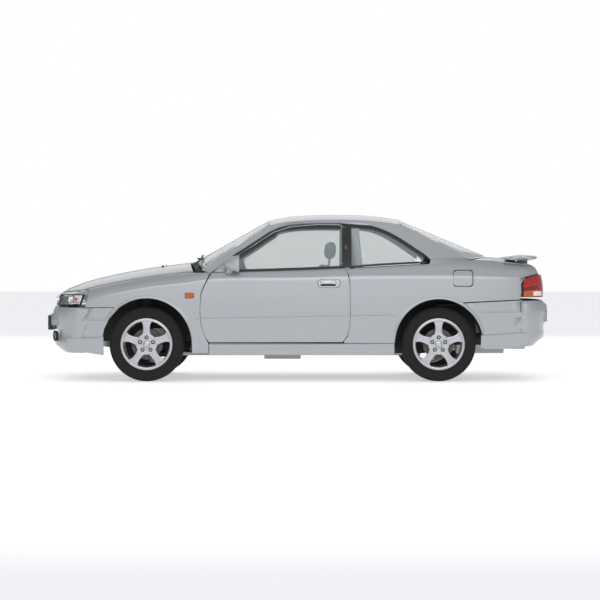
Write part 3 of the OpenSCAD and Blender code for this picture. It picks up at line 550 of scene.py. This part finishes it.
# Fog lamps in dark recesses at the front corners.
for s in (LEFT, RIGHT):
    side = SIDE_NAME[s]
    lathe(f"fog_lens_{side}", [(0, 0), (40, 0), (40, 8), (37, 12), (20, 16), (0, 17)], pt(-2062, s * 560, 380),
          (-1, s * 0.45, 0), CLEAR, steps=48, closed=False)
    lathe(f"fog_bowl_{side}", [(38, -4), (42, -4), (42, 12), (47, 13), (47, 16), (38, 16)], pt(-2062, s * 560, 380),
          (-1, s * 0.45, 0), SEAL, steps=48)


# ---------------------------------------------------------------- fine outer panels

WHEEL_F, WHEEL_R, ARCH_F, ARCH_R = (-1276, 322), (1188, 322), 383, 376
SHUT_FRONT = [(-727, 922), (-780, 820), (-815, 740), (-824, 607), (-818, 520), (-804, 442), (-775, 370), (-749, 332)]
SHUT_REAR = [(396, 949), (424, 900), (435, 828), (438, 586), (434, 470), (413, 377), (374, 334)]
SEAM_Z = [(-2060, 700), (-1846, 766), (-1600, 824), (-1241, 887), (-936, 922)]
FLAP_MIDDLE = (1394, 872)


def resample(path, n):
    """n + 1 points evenly along a path."""
    steps = [math.dist(a, b) for a, b in zip(path, path[1:])]
    total, out = sum(steps), []
    for k in range(n + 1):
        d, i = total * k / n, 0
        while i < len(steps) - 1 and d > steps[i]:
            d -= steps[i]
            i += 1
        t = min(1, d / steps[i]) if steps[i] else 0
        out.append(tuple(a + (b - a) * t for a, b in zip(path[i], path[i + 1])))
    return out


def arch(c, r, a0, a1, n):
    return [(c[0] + r * math.cos(math.radians(a)), c[1] + r * math.sin(math.radians(a))) for a in spread(a0, a1, n)]


def fine_panel(name, inner, outer, s, body, across=110, up=26, out=1.0):
    a, b = resample(inner, across), resample(outer, across)
    rows = [[on_side(p[0] + (q[0] - p[0]) * k / up, p[1] + (q[1] - p[1]) * k / up, s, out) for p, q in zip(a, b)]
            for k in range(up + 1)]
    return sheet(name, rows, 3, PAINT, body, 0.8, angle=50)


for s in (LEFT, RIGHT):
    side = SIDE_NAME[s]
    outline = ([(-1796, 628), (-1772, 728), (-1780, 776)] + [(x, curve(SEAM_Z, x) - 4) for x in spread(-1700, -936,
                                                                                                       12)]
               + [(-808, 918)] + [(x - (12 if z > 760 else 8), z) for x, z in SHUT_FRONT] + [(-758, 312), (-762,
                                                                                                           242)])
    fine_panel(f"fender_skin_{side}", arch(WHEEL_F, ARCH_F, 127, 0, 40) + [(-891, 242)], outline, s, "car_body")
    panel = fine_panel(f"quarter_skin_{side}", [(810, 328)] + arch(WHEEL_R, ARCH_R, 178, 66, 40),
                       [(390, 328)] + [(x + 7.5, z) for x, z in reversed(SHUT_REAR)]
                       + [(741, 972), (1100, 992), (1300, 1015), (1466, 1026), (1794, 999), (1955, 982), (2010, 972),
                          (2034, 940), (2030, 912), (1878, 872), (1884, 694), (1640, 682), (1345, 667)], s,
                          "car_body", across=150)
    if s == LEFT:
        deselect()
        bpy.ops.mesh.primitive_cube_add(size=1)
        cutter = bpy.context.object
        for v in cutter.data.vertices:
            v.co = pt(FLAP_MIDDLE[0] + v.co.x * 172, -800 + v.co.y * 200, FLAP_MIDDLE[1] + v.co.z * 142)
        pick(cutter)
        modify(cutter, "BEVEL", width=0.028, segments=6, limit_method="NONE")
        modify(panel, "BOOLEAN", operation="DIFFERENCE", object=cutter, solver="EXACT")
        bpy.data.objects.remove(cutter)
        done(panel, f"quarter_skin_{side}", PAINT, "car_body", 50)
    front, rear = resample(SHUT_FRONT[::-1], 26), resample(SHUT_REAR[::-1], 26)
    rows = []
    for k, (p, q) in enumerate(zip(front, rear)):
        row = []
        for j in range(61):
            x, z = p[0] + (q[0] - p[0]) * j / 60, p[1] + (q[1] - p[1]) * j / 60
            z += (curve(BELT, x) - 2 - (front[-1][1] + (rear[-1][1] - front[-1][1]) * j / 60)) * (k / 26) ** 6
            row.append(on_side(x, z, s, 1.0))
        rows.append(row)
    sheet(f"door_panel_{side}", rows, 3, PAINT, f"door_{side}_body", 0.8, angle=50)
    # Black backing between the two pillar covers.
    band(f"pillar_backing_{side}", [(404, z) for z in spread(962, 1322, 12)], [(416, z) for z in spread(962, 1322,
                                                                                                        12)],
         s, 0.5, 3, TRIM, "car_body")
    # Mirror head: a rounded half shell cut flat where the glass sits.
    deselect()
    bpy.ops.mesh.primitive_uv_sphere_add(segments=48, ring_count=24, radius=1)
    o = bpy.context.object
    bpy.ops.object.mode_set(mode="EDIT")
    bpy.ops.mesh.select_all(action="SELECT")
    bpy.ops.mesh.bisect(plane_co=(0, 0, 0), plane_no=(1, 0, 0), use_fill=True, clear_outer=True)
    bpy.ops.object.mode_set(mode="OBJECT")
    for v in o.data.vertices:
        x, y, z = v.co
        f = 1 + 0.12 * (abs(y * z) / max(1e-6, y * y + z * z)) * 2 * (1 + x)
        v.co = pt(-493 + 131 * x, s * (868 + 88 * y * f * s), 995 + 67 * z * f)
    modify(o, "BEVEL", width=0.004, segments=3, limit_method="ANGLE", angle_limit=math.radians(60))
    outward(o)
    done(o, f"mirror_head_{side}", PAINT, f"door_{side}_body", 50)
    foot = [[pt(x0 + dx, s * y, z0) for dx in (-26, -10, 10, 26)] for x0, y, z0 in
            ((-582, 800, 905), (-580, 832, 912), (-572, 862, 930), (-564, 876, 950))]
    sheet(f"mirror_foot_{side}", foot, 26, PAINT, f"door_{side}_body", 6, angle=60)

# ---------------------------------------------------------------- lamps

def lamp_front(u, z):
    """Front lamp surface: u runs from the grille outward, z is the height."""
    return (-2080 + 40 * u + 206 * u**3.2 + (z - 640) * 0.35, 350 + 400 * u, z)


def lamp_rear(u, t):
    z0 = 712 + 190 * t
    xr = 2086 - 0.0009 * max(0, z0 - 760) ** 2
    x = xr - (xr - 1892) * u**3
    z = 712 + (min(900, 853 + 40 * (x - 1869) / 134) - 712) * t
    y = 560 + (side_y(1892, z) - 8 - 560) * min(1, u * 1.15 - 0.15 * u * u)
    return (x, y, z)


def lamp_sheet(name, surface, u0, u1, v0, v1, s, lift, thick, material, n=24, m=10):
    rows = []
    for k in range(m + 1):
        v = v0 + (v1 - v0) * k / m
        row = []
        for j in range(n + 1):
            u = u0 + (u1 - u0) * j / n
            e = 0.01
            a, b, c = (Vector(surface(u, v)), Vector(surface(min(1, u + e), v)),
                       Vector(surface(u, v + e * (100 if v > 2 else 1))))
            if u + e > 1:
                b, a = a, Vector(surface(u - e, v))
                c = a + (c - b)
            nrm = (b - a).cross(c - a).normalized()
            p = Vector(surface(u, v))
            if nrm.dot(Vector((p.x, p.y * 0.3, 0))) < 0:
                nrm = -nrm
            p = p + nrm * lift
            row.append(pt(p.x, s * p.y, p.z))
        rows.append(row)
    body_out = Vector((rows[0][0].x, rows[0][-1].y, 0))
    return sheet(name, rows, thick, material, "car_body", 0.6, out=body_out)


for s in (LEFT, RIGHT):
    side = SIDE_NAME[s]
    for tag, u0, u1, z0, z1 in (("low", 0, 1, 642, 649), ("high", 0, 1, 727, 734), ("inner", 0, 0.03, 642, 734),
                                ("outer", 0.975, 1, 642, 734)):
        lamp_sheet(f"headlamp_rim_{tag}_{side}", lamp_front, u0, u1, z0, z1, s, 2.5, 6, TRIM,
                   n=28 if u1 - u0 > 0.5 else 3)
    lathe(f"headlamp_reflector_main_{side}", [(0, 26), (20, 22), (34, 12), (40, 0), (42, 0), (36, 14), (21, 25),
                                              (0, 29)],
          pt(-2046, s * 560, 690), (1, s * 0.1, 0), MIRROR, steps=48, closed=False)
    lathe(f"headlamp_reflector_side_{side}", [(0, 22), (18, 18), (30, 10), (36, 0), (38, 0), (32, 12), (19, 20),
                                              (0, 24)],
          pt(-1925, s * 690, 690), (0.8, -s * 0.6, 0), MIRROR, steps=48, closed=False)
    lathe(f"headlamp_turn_bulb_{side}", [(0, 0), (15, 0), (15, 14), (10, 22), (0, 25)], pt(-1880, s * 716, 694),
          (-0.5, s * 0.8, 0), AMBER, steps=32, closed=False)
    for tag, t0, t1, m in (("top", 0.56, 1.0, RED), ("middle", 0.33, 0.55, DARKRED), ("bottom", 0.03, 0.32, AMBER)):
        lamp_sheet(f"taillamp_{tag}_{side}", lamp_rear, 0.04, 0.975, t0, t1, s, 2.5, 6, m, n=30)
    lamp_sheet(f"taillamp_reverse_{side}", lamp_rear, 0.45, 0.78, 0.06, 0.27, s, 4.0, 4, WHITE, n=14)
    for tag, u0, u1, t0, t1 in (("low", 0, 1, 0, 0.035), ("high", 0, 1, 0.975, 1.0), ("outer", 0.97, 1.0, 0, 1.0),
                                ("inner", 0, 0.04, 0, 1.0)):
        lamp_sheet(f"taillamp_rim_{tag}_{side}", lamp_rear, u0, u1, t0, t1, s, 3.2, 6, TRIM,
                   n=30 if u1 - u0 > 0.5 else 3)
block("plate_holder_front", (-2167, -264, 422), (-2120, 264, 548), TRIM, bevel=3)


# ---------------------------------------------------------------- wheels and tyres

def polygon_slab(name, outline, low, high, bevel, material, body, frame_matrix, segments=3):
    """A flat shape drawn in a wheel's own plane, extruded, rounded and set in place."""
    deselect()
    bpy.ops.mesh.primitive_circle_add(vertices=len(outline), fill_type="NGON", radius=1)
    o = bpy.context.object
    for v, (x, y) in zip(o.data.vertices, outline):
        v.co = Vector((x * MM, y * MM, low * MM))
    bpy.ops.object.mode_set(mode="EDIT")
    bpy.ops.mesh.select_all(action="SELECT")
    bpy.ops.mesh.extrude_region_move(TRANSFORM_OT_translate={"value": (0, 0, (high - low) * MM)})
    bpy.ops.object.mode_set(mode="OBJECT")
    outward(o)
    modify(o, "BEVEL", width=bevel * MM, segments=segments, limit_method="ANGLE", angle_limit=math.radians(40))
    o.data.transform(frame_matrix)
    return done(o, name, material, body)


def box_middle(node):
    lo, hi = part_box(node)
    return (Vector(lo) + Vector(hi)) / 2


OUT_LEFT = Matrix(((0, -1, 0, 0), (0, 0, -1, 0), (1, 0, 0, 0), (0, 0, 0, 1)))   # wheel plane to the car's left side
FIRST = "front_wheel_left"
HUB = box_middle("tyre_front_left")
AT_HUB = Matrix.Translation(HUB)
SPOKES = 5
SPOKE_SPACING = 360 / SPOKES     # degrees
BOLT_RADIUS = 57.15             # wheel nut circle, millimetres


def spin_at_hub(degrees):
    return AT_HUB @ OUT_LEFT @ Matrix.Rotation(math.radians(degrees), 4, "Z")


RIM = [(218, 91), (215, 92.5), (211, 92.5), (208.5, 90.5), (206, 90.5), (203, 92), (199, 91), (196.5, 87),
       (195.5, 78), (194, 60),
       (189, 20), (189, -40), (194, -80), (203, -89), (212, -92), (218, -91), (218, -80), (209, -66), (206, -40),
       (202, 10),
       (205, 45), (209, 66), (218, 79)]
TYRE_HALF = [(219, 90), (222, 94.5), (228, 96.5), (234, 97), (236, 98.8), (239, 98.8), (241, 97.4), (250, 99.4),
             (257, 100),
             (259, 101.2), (262, 101.2), (264, 100), (272, 98.6), (280, 96.5), (288, 93.5), (290, 94.3), (293, 92.6),
             (299, 88), (304, 82), (306, 76), (307.5, 56), (314.4, 55), (314.8, 49), (307, 48), (307, 41), (315, 40),
             (315.6, 17), (307, 16), (307, 9), (316, 8)]
wheel = [lathe("rim", RIM, HUB, (0, -1, 0), ALLOY, FIRST, steps=120)]
SPOKE = [(84, -40), (98, -32.5), (118, -29), (142, -28.5), (164, -31.5), (180, -38), (192, -50), (197, -40),
         (199, -20), (199.5, 0),
         (199, 20), (197, 40), (192, 50), (180, 38), (164, 31.5), (142, 28.5), (118, 29), (98, 32.5), (84, 40)]
spokes = []
for k in range(SPOKES):
    sp = polygon_slab(f"spoke_{k}", SPOKE, 50, 79, 6, ALLOY, FIRST, spin_at_hub(k * SPOKE_SPACING), segments=3)
    spokes.append(sp)
hub = lathe("hub_face", [(0, 40), (88, 40), (91, 46), (91, 72), (87, 79), (70, 81.5), (40, 82.5), (31, 82),
                         (29, 77), (0, 77)],
            HUB, (0, -1, 0), ALLOY, FIRST, steps=96, closed=False)
for k in range(SPOKES):
    deselect()
    bpy.ops.mesh.primitive_cylinder_add(vertices=40, radius=17.5 * MM, depth=60 * MM)
    cutter = bpy.context.object
    cutter.data.transform(spin_at_hub(k * SPOKE_SPACING) @ Matrix.Translation((BOLT_RADIUS * MM, 0, 93 * MM)))
    modify(hub, "BOOLEAN", operation="DIFFERENCE", object=cutter, solver="EXACT")
    bpy.data.objects.remove(cutter)
modify(hub, "BEVEL", width=1.2 * MM, segments=2, limit_method="ANGLE", angle_limit=math.radians(50))
done(hub, "hub_face", ALLOY, FIRST)
wheel.append(join("spokes", spokes))
wheel.append(hub)
cups, nuts = [], []
for k in range(SPOKES):
    m = spin_at_hub(k * SPOKE_SPACING) @ Matrix.Translation((BOLT_RADIUS * MM, 0, 0))
    place = m.translation
    axis = (m.to_3x3() @ Vector((0, 0, 1)))
    cups.append(lathe(f"lug_cup_{k}", [(9, 62.5), (17.3, 62.5), (17.3, 80), (15.6, 80), (15.2, 65), (9, 64.5)],
                      place, axis,
                      TRIM, FIRST, steps=32))
    deselect()
    bpy.ops.mesh.primitive_cylinder_add(vertices=6, radius=10.5 * MM, depth=17 * MM)
    nut = bpy.context.object
    modify(nut, "BEVEL", width=1.8 * MM, segments=3, limit_method="ANGLE", angle_limit=math.radians(40))
    nut.data.transform(m @ Matrix.Translation((0, 0, 71 * MM)))
    nuts.append(done(nut, f"lug_nut_{k}", STEEL, FIRST))
wheel.append(join("lug_cups", cups))
wheel.append(join("lug_nuts", nuts))
wheel.append(lathe("centre_cap", [(0, 78), (27, 78), (27, 84), (25.5, 87.5), (22, 88.6), (21, 87.4), (19, 88.6),
                                  (10, 90.4), (0, 91)],
                   HUB, (0, -1, 0), ALLOY, FIRST, steps=64, closed=False))
wheel.append(lathe("brake_disc", [(30, -12), (78, -12), (78, -3), (130, -3), (130, 6), (124, 6), (124, 10),
                                  (130, 10), (130, 19),
                                  (80, 19), (78, 34), (30, 34)], HUB, (0, -1, 0), IRON, FIRST, steps=96))
valve_at = AT_HUB @ OUT_LEFT @ Matrix.Translation((-190 * MM, 0, 0))
wheel.append(lathe("valve_stem", [(0, 58), (4.4, 58), (4, 72), (3.2, 74), (3.6, 76), (3.6, 84), (2.8, 86), (0, 86)],
                   valve_at.translation, (0, -1, 0), SEAL, FIRST, steps=20, closed=False))
tyre = lathe("tyre_carcass", TYRE_HALF + [(r, -a) for r, a in reversed(TYRE_HALF)], HUB, (0, -1, 0), TYRE, FIRST,
             steps=144,
             angle=28)
BLOCKS = 68
deselect()
bpy.ops.mesh.primitive_cube_add(size=1)
first = bpy.context.object
for v in first.data.vertices:
    top = v.co.z > 0
    edge = v.co.y > 0
    v.co = Vector((v.co.x * 21.5 * MM, (86 if edge else 57) * MM if top else (92 if edge else 57) * MM,
                   ((309.5 if edge else 314) if top else (294 if edge else 304)) * MM))
modify(first, "BEVEL", width=1.6 * MM, segments=2, limit_method="NONE")
treads = []
for k in range(BLOCKS):
    for flip in (1, -1):
        c = first.copy()
        c.data = first.data.copy()
        bpy.context.scene.collection.objects.link(c)
        lean = Matrix.Rotation(math.radians(3 * flip), 4, "Z")
        m = (Matrix.Rotation(math.radians(360 / BLOCKS * (k + (0.5 if flip < 0 else 0))), 4, "Y")
             @ Matrix.Scale(flip, 4, (0, 1, 0)) @ lean)
        c.data.transform(AT_HUB @ m)
        if flip < 0:
            c.data.flip_normals()
        treads.append(c)
bpy.data.objects.remove(first)
blocks = join("tread_blocks", treads)
done(blocks, "tread_blocks", TYRE, FIRST)
tyre_parts = [tyre, blocks]

SPOTS = [("front", "left"), ("front", "right"), ("rear", "left"), ("rear", "right")]
TURN = Matrix.Rotation(math.pi, 4, "Z")
for end, side in SPOTS:
    body = f"{end}_wheel_{side}"
    target = box_middle(f"tyre_{end}_{side}")
    for parts, node in ((wheel, f"wheel_{end}_{side}"), (tyre_parts, f"tyre_{end}_{side}")):
        for p in parts:
            stem = p.name
            if body == FIRST:
                continue
            move = Matrix.Translation(target) @ (TURN if side == "right" else Matrix.Identity(4)) @ Matrix.Translation(-HUB)
            c = copy_of(p, f"{stem}_{end}_{side}", move, body)
            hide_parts(node)
for parts, node in ((wheel, "wheel_front_left"), (tyre_parts, "tyre_front_left")):
    for p in parts:
        p.name = f"{p.name}_front_left"
        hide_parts(node)


# ---------------------------------------------------------------- bumpers, spoiler, hood details

for s in (LEFT, RIGHT):
    side = SIDE_NAME[s]
    # Front corner of the bumper: crease, lower lip and its seam.
    xs = spread(-1950, -1640, 20)
    sheet(f"front_bumper_crease_{side}", [[on_side(x, 513 + dz, s, out) for x in xs] for dz, out in
          ((-12, 0.2), (-3, 4.5), (3, 5.5), (9, 0.2))], 2, PAINT, "car_body", 0)
    sheet(f"front_lip_{side}", [[on_side(x, z0 + (x + 1950) * dz, s, out) for x in xs] for z0, dz, out in
          ((262, -0.12, 1), (290, -0.08, 6), (345, 0.0, 11), (362, 0.01, 10), (372, 0.02, 1))], 3, PAINT,
          "car_body", 0)
    sheet(f"front_seam_{side}", [[on_side(x, z, s, 1.6) for x in (-1852, -1850, -1848)] for z in spread(380, 606,
                                                                                                        10)],
          2, SEAL, "car_body", 0)
    # Rear corner.
    xs = spread(1545, 1960, 24)
    sheet(f"rear_bumper_crease_{side}", [[on_side(x, 580 + dz, s, out) for x in xs] for dz, out in
          ((-12, 0.2), (-3, 4.5), (3, 5.5), (9, 0.2))], 2, PAINT, "car_body", 0)
    sheet(f"rear_lip_{side}", [[on_side(x, z0 + (x - 1545) * dz, s, out) for x in xs] for z0, dz, out in
          ((282, 0.07, 1), (310, 0.07, 6), (366, 0.07, 11), (384, 0.07, 10), (394, 0.07, 1))], 3, PAINT, "car_body",
          0)
    sheet(f"rear_seam_{side}", [[on_side(x, z, s, 1.6) for x in (1878, 1880, 1882)] for z in spread(590, 670, 8)],
          2, SEAL, "car_body", 0)
    # Washer nozzle on the hood.
    z = 968
    block(f"washer_nozzle_{side}", (-1182, s * 260 - 9, z), (-1160, s * 260 + 9, z + 14), TRIM, "hood_body", bevel=4,
          taper=(0.6, 0.7))

# ---------------------------------------------------------------- seats

def panel_cushion(name, corner_a, corner_b, tilt, pivot, puff=10):
    """One stuffed panel: a box with soft edges and a crowned face."""
    deselect()
    bpy.ops.mesh.primitive_cube_add(size=1)
    o = bpy.context.object
    lo = Vector(tuple(min(a, b) for a, b in zip(corner_a, corner_b)))
    hi = Vector(tuple(max(a, b) for a, b in zip(corner_a, corner_b)))
    mid, span = (lo + hi) / 2, hi - lo
    bpy.ops.object.mode_set(mode="EDIT")
    bpy.ops.mesh.select_all(action="SELECT")
    bpy.ops.mesh.subdivide(number_cuts=5)
    bpy.ops.object.mode_set(mode="OBJECT")
    spin = Matrix.Rotation(math.radians(tilt), 3, "Y")
    for v in o.data.vertices:
        c = v.co * 2
        full = [1 - abs(c[k]) ** 4 for k in range(3)]
        q = Vector((v.co.x * (span.x - 2 * puff) + (puff * c.x * full[1] * full[2] if abs(c.x) > 0.99 else 0),
                    v.co.y * (span.y - 2 * puff) + (puff * c.y * full[0] * full[2] if abs(c.y) > 0.99 else 0),
                    v.co.z * (span.z - 2 * puff) + (puff * c.z * full[0] * full[1] if abs(c.z) > 0.99 else 0)))
        q = mid + q
        q = Vector(pivot) + spin @ (q - Vector(pivot))
        v.co = pt(q.x, q.y, q.z)
    modify(o, "BEVEL", width=14 * MM, segments=3, limit_method="ANGLE", angle_limit=math.radians(60))
    return done(o, name, CLOTH, "car_body", 60)


def seat(name, x, y, z, w, back, lean):
    """Cushion and backrest, each sewn from a middle panel and two bolsters."""
    out = []
    for part, a, b, tilt in (("cushion", (x - 450, -w / 2, z - 60), (x + 20, w / 2, z + 72), 4),
                             ("backrest", (x - 60, -w / 2, z + 55), (x + 60, w / 2, z + back), lean)):
        bolster = w * 0.21
        bits = []
        for tag, y0, y1, grow in (("left", -w / 2, -w / 2 + bolster, 20), ("middle", -w / 2 + bolster,
                                                                           w / 2 - bolster, 0),
                                  ("right", w / 2 - bolster, w / 2, 20)):
            c0, c1 = list(a), list(b)
            c0[1], c1[1] = y + y0 + 1, y + y1 - 1
            if part == "cushion":
                c1[2] += grow
            else:
                c0[0] -= grow
            bits.append(panel_cushion(f"{name}_{part}_{tag}", c0, c1, tilt, (x, y, z)))
        piece = join(f"{name}_{part}", bits)
        out.append(piece)
    return out


front_parts = []
for s in (LEFT, RIGHT):
    side, y = SIDE_NAME[s], s * 350
    front_parts += seat(f"front_seat_{side}", 110, y, 400, 496, 598, 15)
    head = panel_cushion(f"front_headrest_{side}", (236, y - 124, 1038), (328, y + 124, 1182), 5, (280, y, 1110),
                         puff=14)
    front_parts.append(head)
    for dy, tag in ((-60, "inner"), (60, "outer")):
        front_parts.append(lathe(f"headrest_post_{side}_{tag}", [(0, 0), (6, 0), (6, 90), (0, 90)], pt(268, y + dy,
                                                                                                       965),
                                 (0.15, 0, 1), STEEL, steps=20, closed=False))
    for d in (-1, 1):
        front_parts.append(block(f"seat_rail_{side}_{'inner' if d < 0 else 'outer'}", (-320, y + d * 160, 253),
                                 (80, y + d * 190, 345), DASH, bevel=4))
for o in front_parts:
    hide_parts("front_seats")
for s in (LEFT, RIGHT):
    side = SIDE_NAME[s]
    for part, a, b, tilt in (("cushion", (712, 6, 424), (1080, 494, 556), 0), ("backrest", (1012, 6, 500),
                                                                               (1092, 494, 930), 13)):
        piece = panel_cushion(f"rear_seat_{part}_{side}", (a[0], s * a[1], a[2]), (b[0], s * b[1], b[2]), tilt,
                              (1040, 0, 560))
        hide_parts("rear_seat")


# ---------------------------------------------------------------- nose and tail

HOOD_TOP = [(-2095, 700), (-2024, 766), (-1954, 799), (-1813, 848), (-1602, 900), (-1321, 953), (-1040, 991), (-930,
                                                                                                               1003)]
SEAM_Y = [(-2060, 520), (-1846, 600), (-1600, 652), (-1241, 686), (-936, 686)]


def hood_z(x, y):
    c, e, w = curve(HOOD_TOP, x), curve(SEAM_Z, x), curve(SEAM_Y, x)
    return c - (c - e) * (abs(y) / w) ** 2.2


def hood_point(k, v, lift=0.0):
    xf, xb = -2088 + 238 * abs(v) ** 2.8, -942 + 50 * v * v
    x = xf + (xb - xf) * k
    y = v * (curve(SEAM_Y, x) - 6)
    return (x, y, hood_z(x, y) + lift)


sheet("hood_panel", [[pt(*hood_point(k / 40, j / 24, 1.2)) for j in range(-24, 25)] for k in range(41)], 3, PAINT,
      "hood_body",
      0.8, out=Vector((0, 0, 1)), angle=50)
for s in (LEFT, RIGHT):
    side = SIDE_NAME[s]
    low = resample([lamp_front(k / 16, 736) for k in range(17)], 30)
    high = resample([(x - 5, y, z - 5) for x, y, z in (hood_point(0, 0.55 + 0.45 * k / 12) for k in range(13))]
                    + [(-1812, 690, 772), (-1784, side_y(-1784, 770), 770), (-1776, side_y(-1776, 738), 738)], 30)
    rows = [[pt(a[0] + (b[0] - a[0]) * t, s * (a[1] + (b[1] - a[1]) * t), a[2] + (b[2] - a[2]) * t) for a,
             b in zip(low, high)]
            for t in (0, 0.25, 0.5, 0.75, 1)]
    sheet(f"lamp_brow_{side}", rows, 4, PAINT, "car_body", 0.8, out=Vector((-1, 0, 1.5)), angle=60)
# Grille: a dark back and slim bars between the lamps.
for k, z in enumerate((648, 662, 676, 690)):
    block(f"grille_bar_{k}", (-2082 + 0.5 * k, -338, z), (-2060, 338, z + 5), TRIM, bevel=1.5)
block("grille_frame_top", (-2084, -345, 698), (-2058, 345, 708), PAINT, bevel=3)
# Lower intake: painted shade, a dark block standing for the shaded opening, with two bars.
block("intake_painted_shade", (-2120, -250, 330), (-2108, 250, 388), SEAL, bevel=4)
for k, z in enumerate((344, 364)):
    block(f"intake_bar_{k}", (-2126, -246, z), (-2114, 246, z + 6), TRIM, bevel=2)


# ---------------------------------------------------------------- small finishing pieces

block("rear_plate", (2111, -252, 755), (2116, 252, 859), PLATE, "trunk_body", bevel=1.5)
block("rear_plate_frame", (2108, -258, 750), (2114, 258, 864), TRIM, "trunk_body", bevel=2)
for s in (LEFT, RIGHT):
    side = SIDE_NAME[s]
    # Rounded feet under the spoiler's ends.
    block(f"spoiler_foot_{side}", (1874, s * 524, 1000), (1954, s * 556, 1048), PAINT, "trunk_body", bevel=8)
# Gear lever and handbrake on the tunnel.
lathe("gear_lever", [(0, 0), (26, 0), (24, 12), (9, 30), (7, 110), (16, 124), (19, 140), (15, 156), (0, 162)],
      pt(-330, 0, 388), (-0.15, 0, 1), DASH, steps=40, closed=False)
lathe("handbrake_lever", [(0, 0), (13, 0), (13, 150), (16, 158), (16, 240), (11, 250), (0, 252)], pt(-40, 60, 400),
      (-0.92, 0, 0.38), DASH, steps=32, closed=False)
# Inside mirror.
block("inside_mirror", (-190, -115, 1262), (-166, 115, 1312), DASH, bevel=9, turn=("Y", 12))
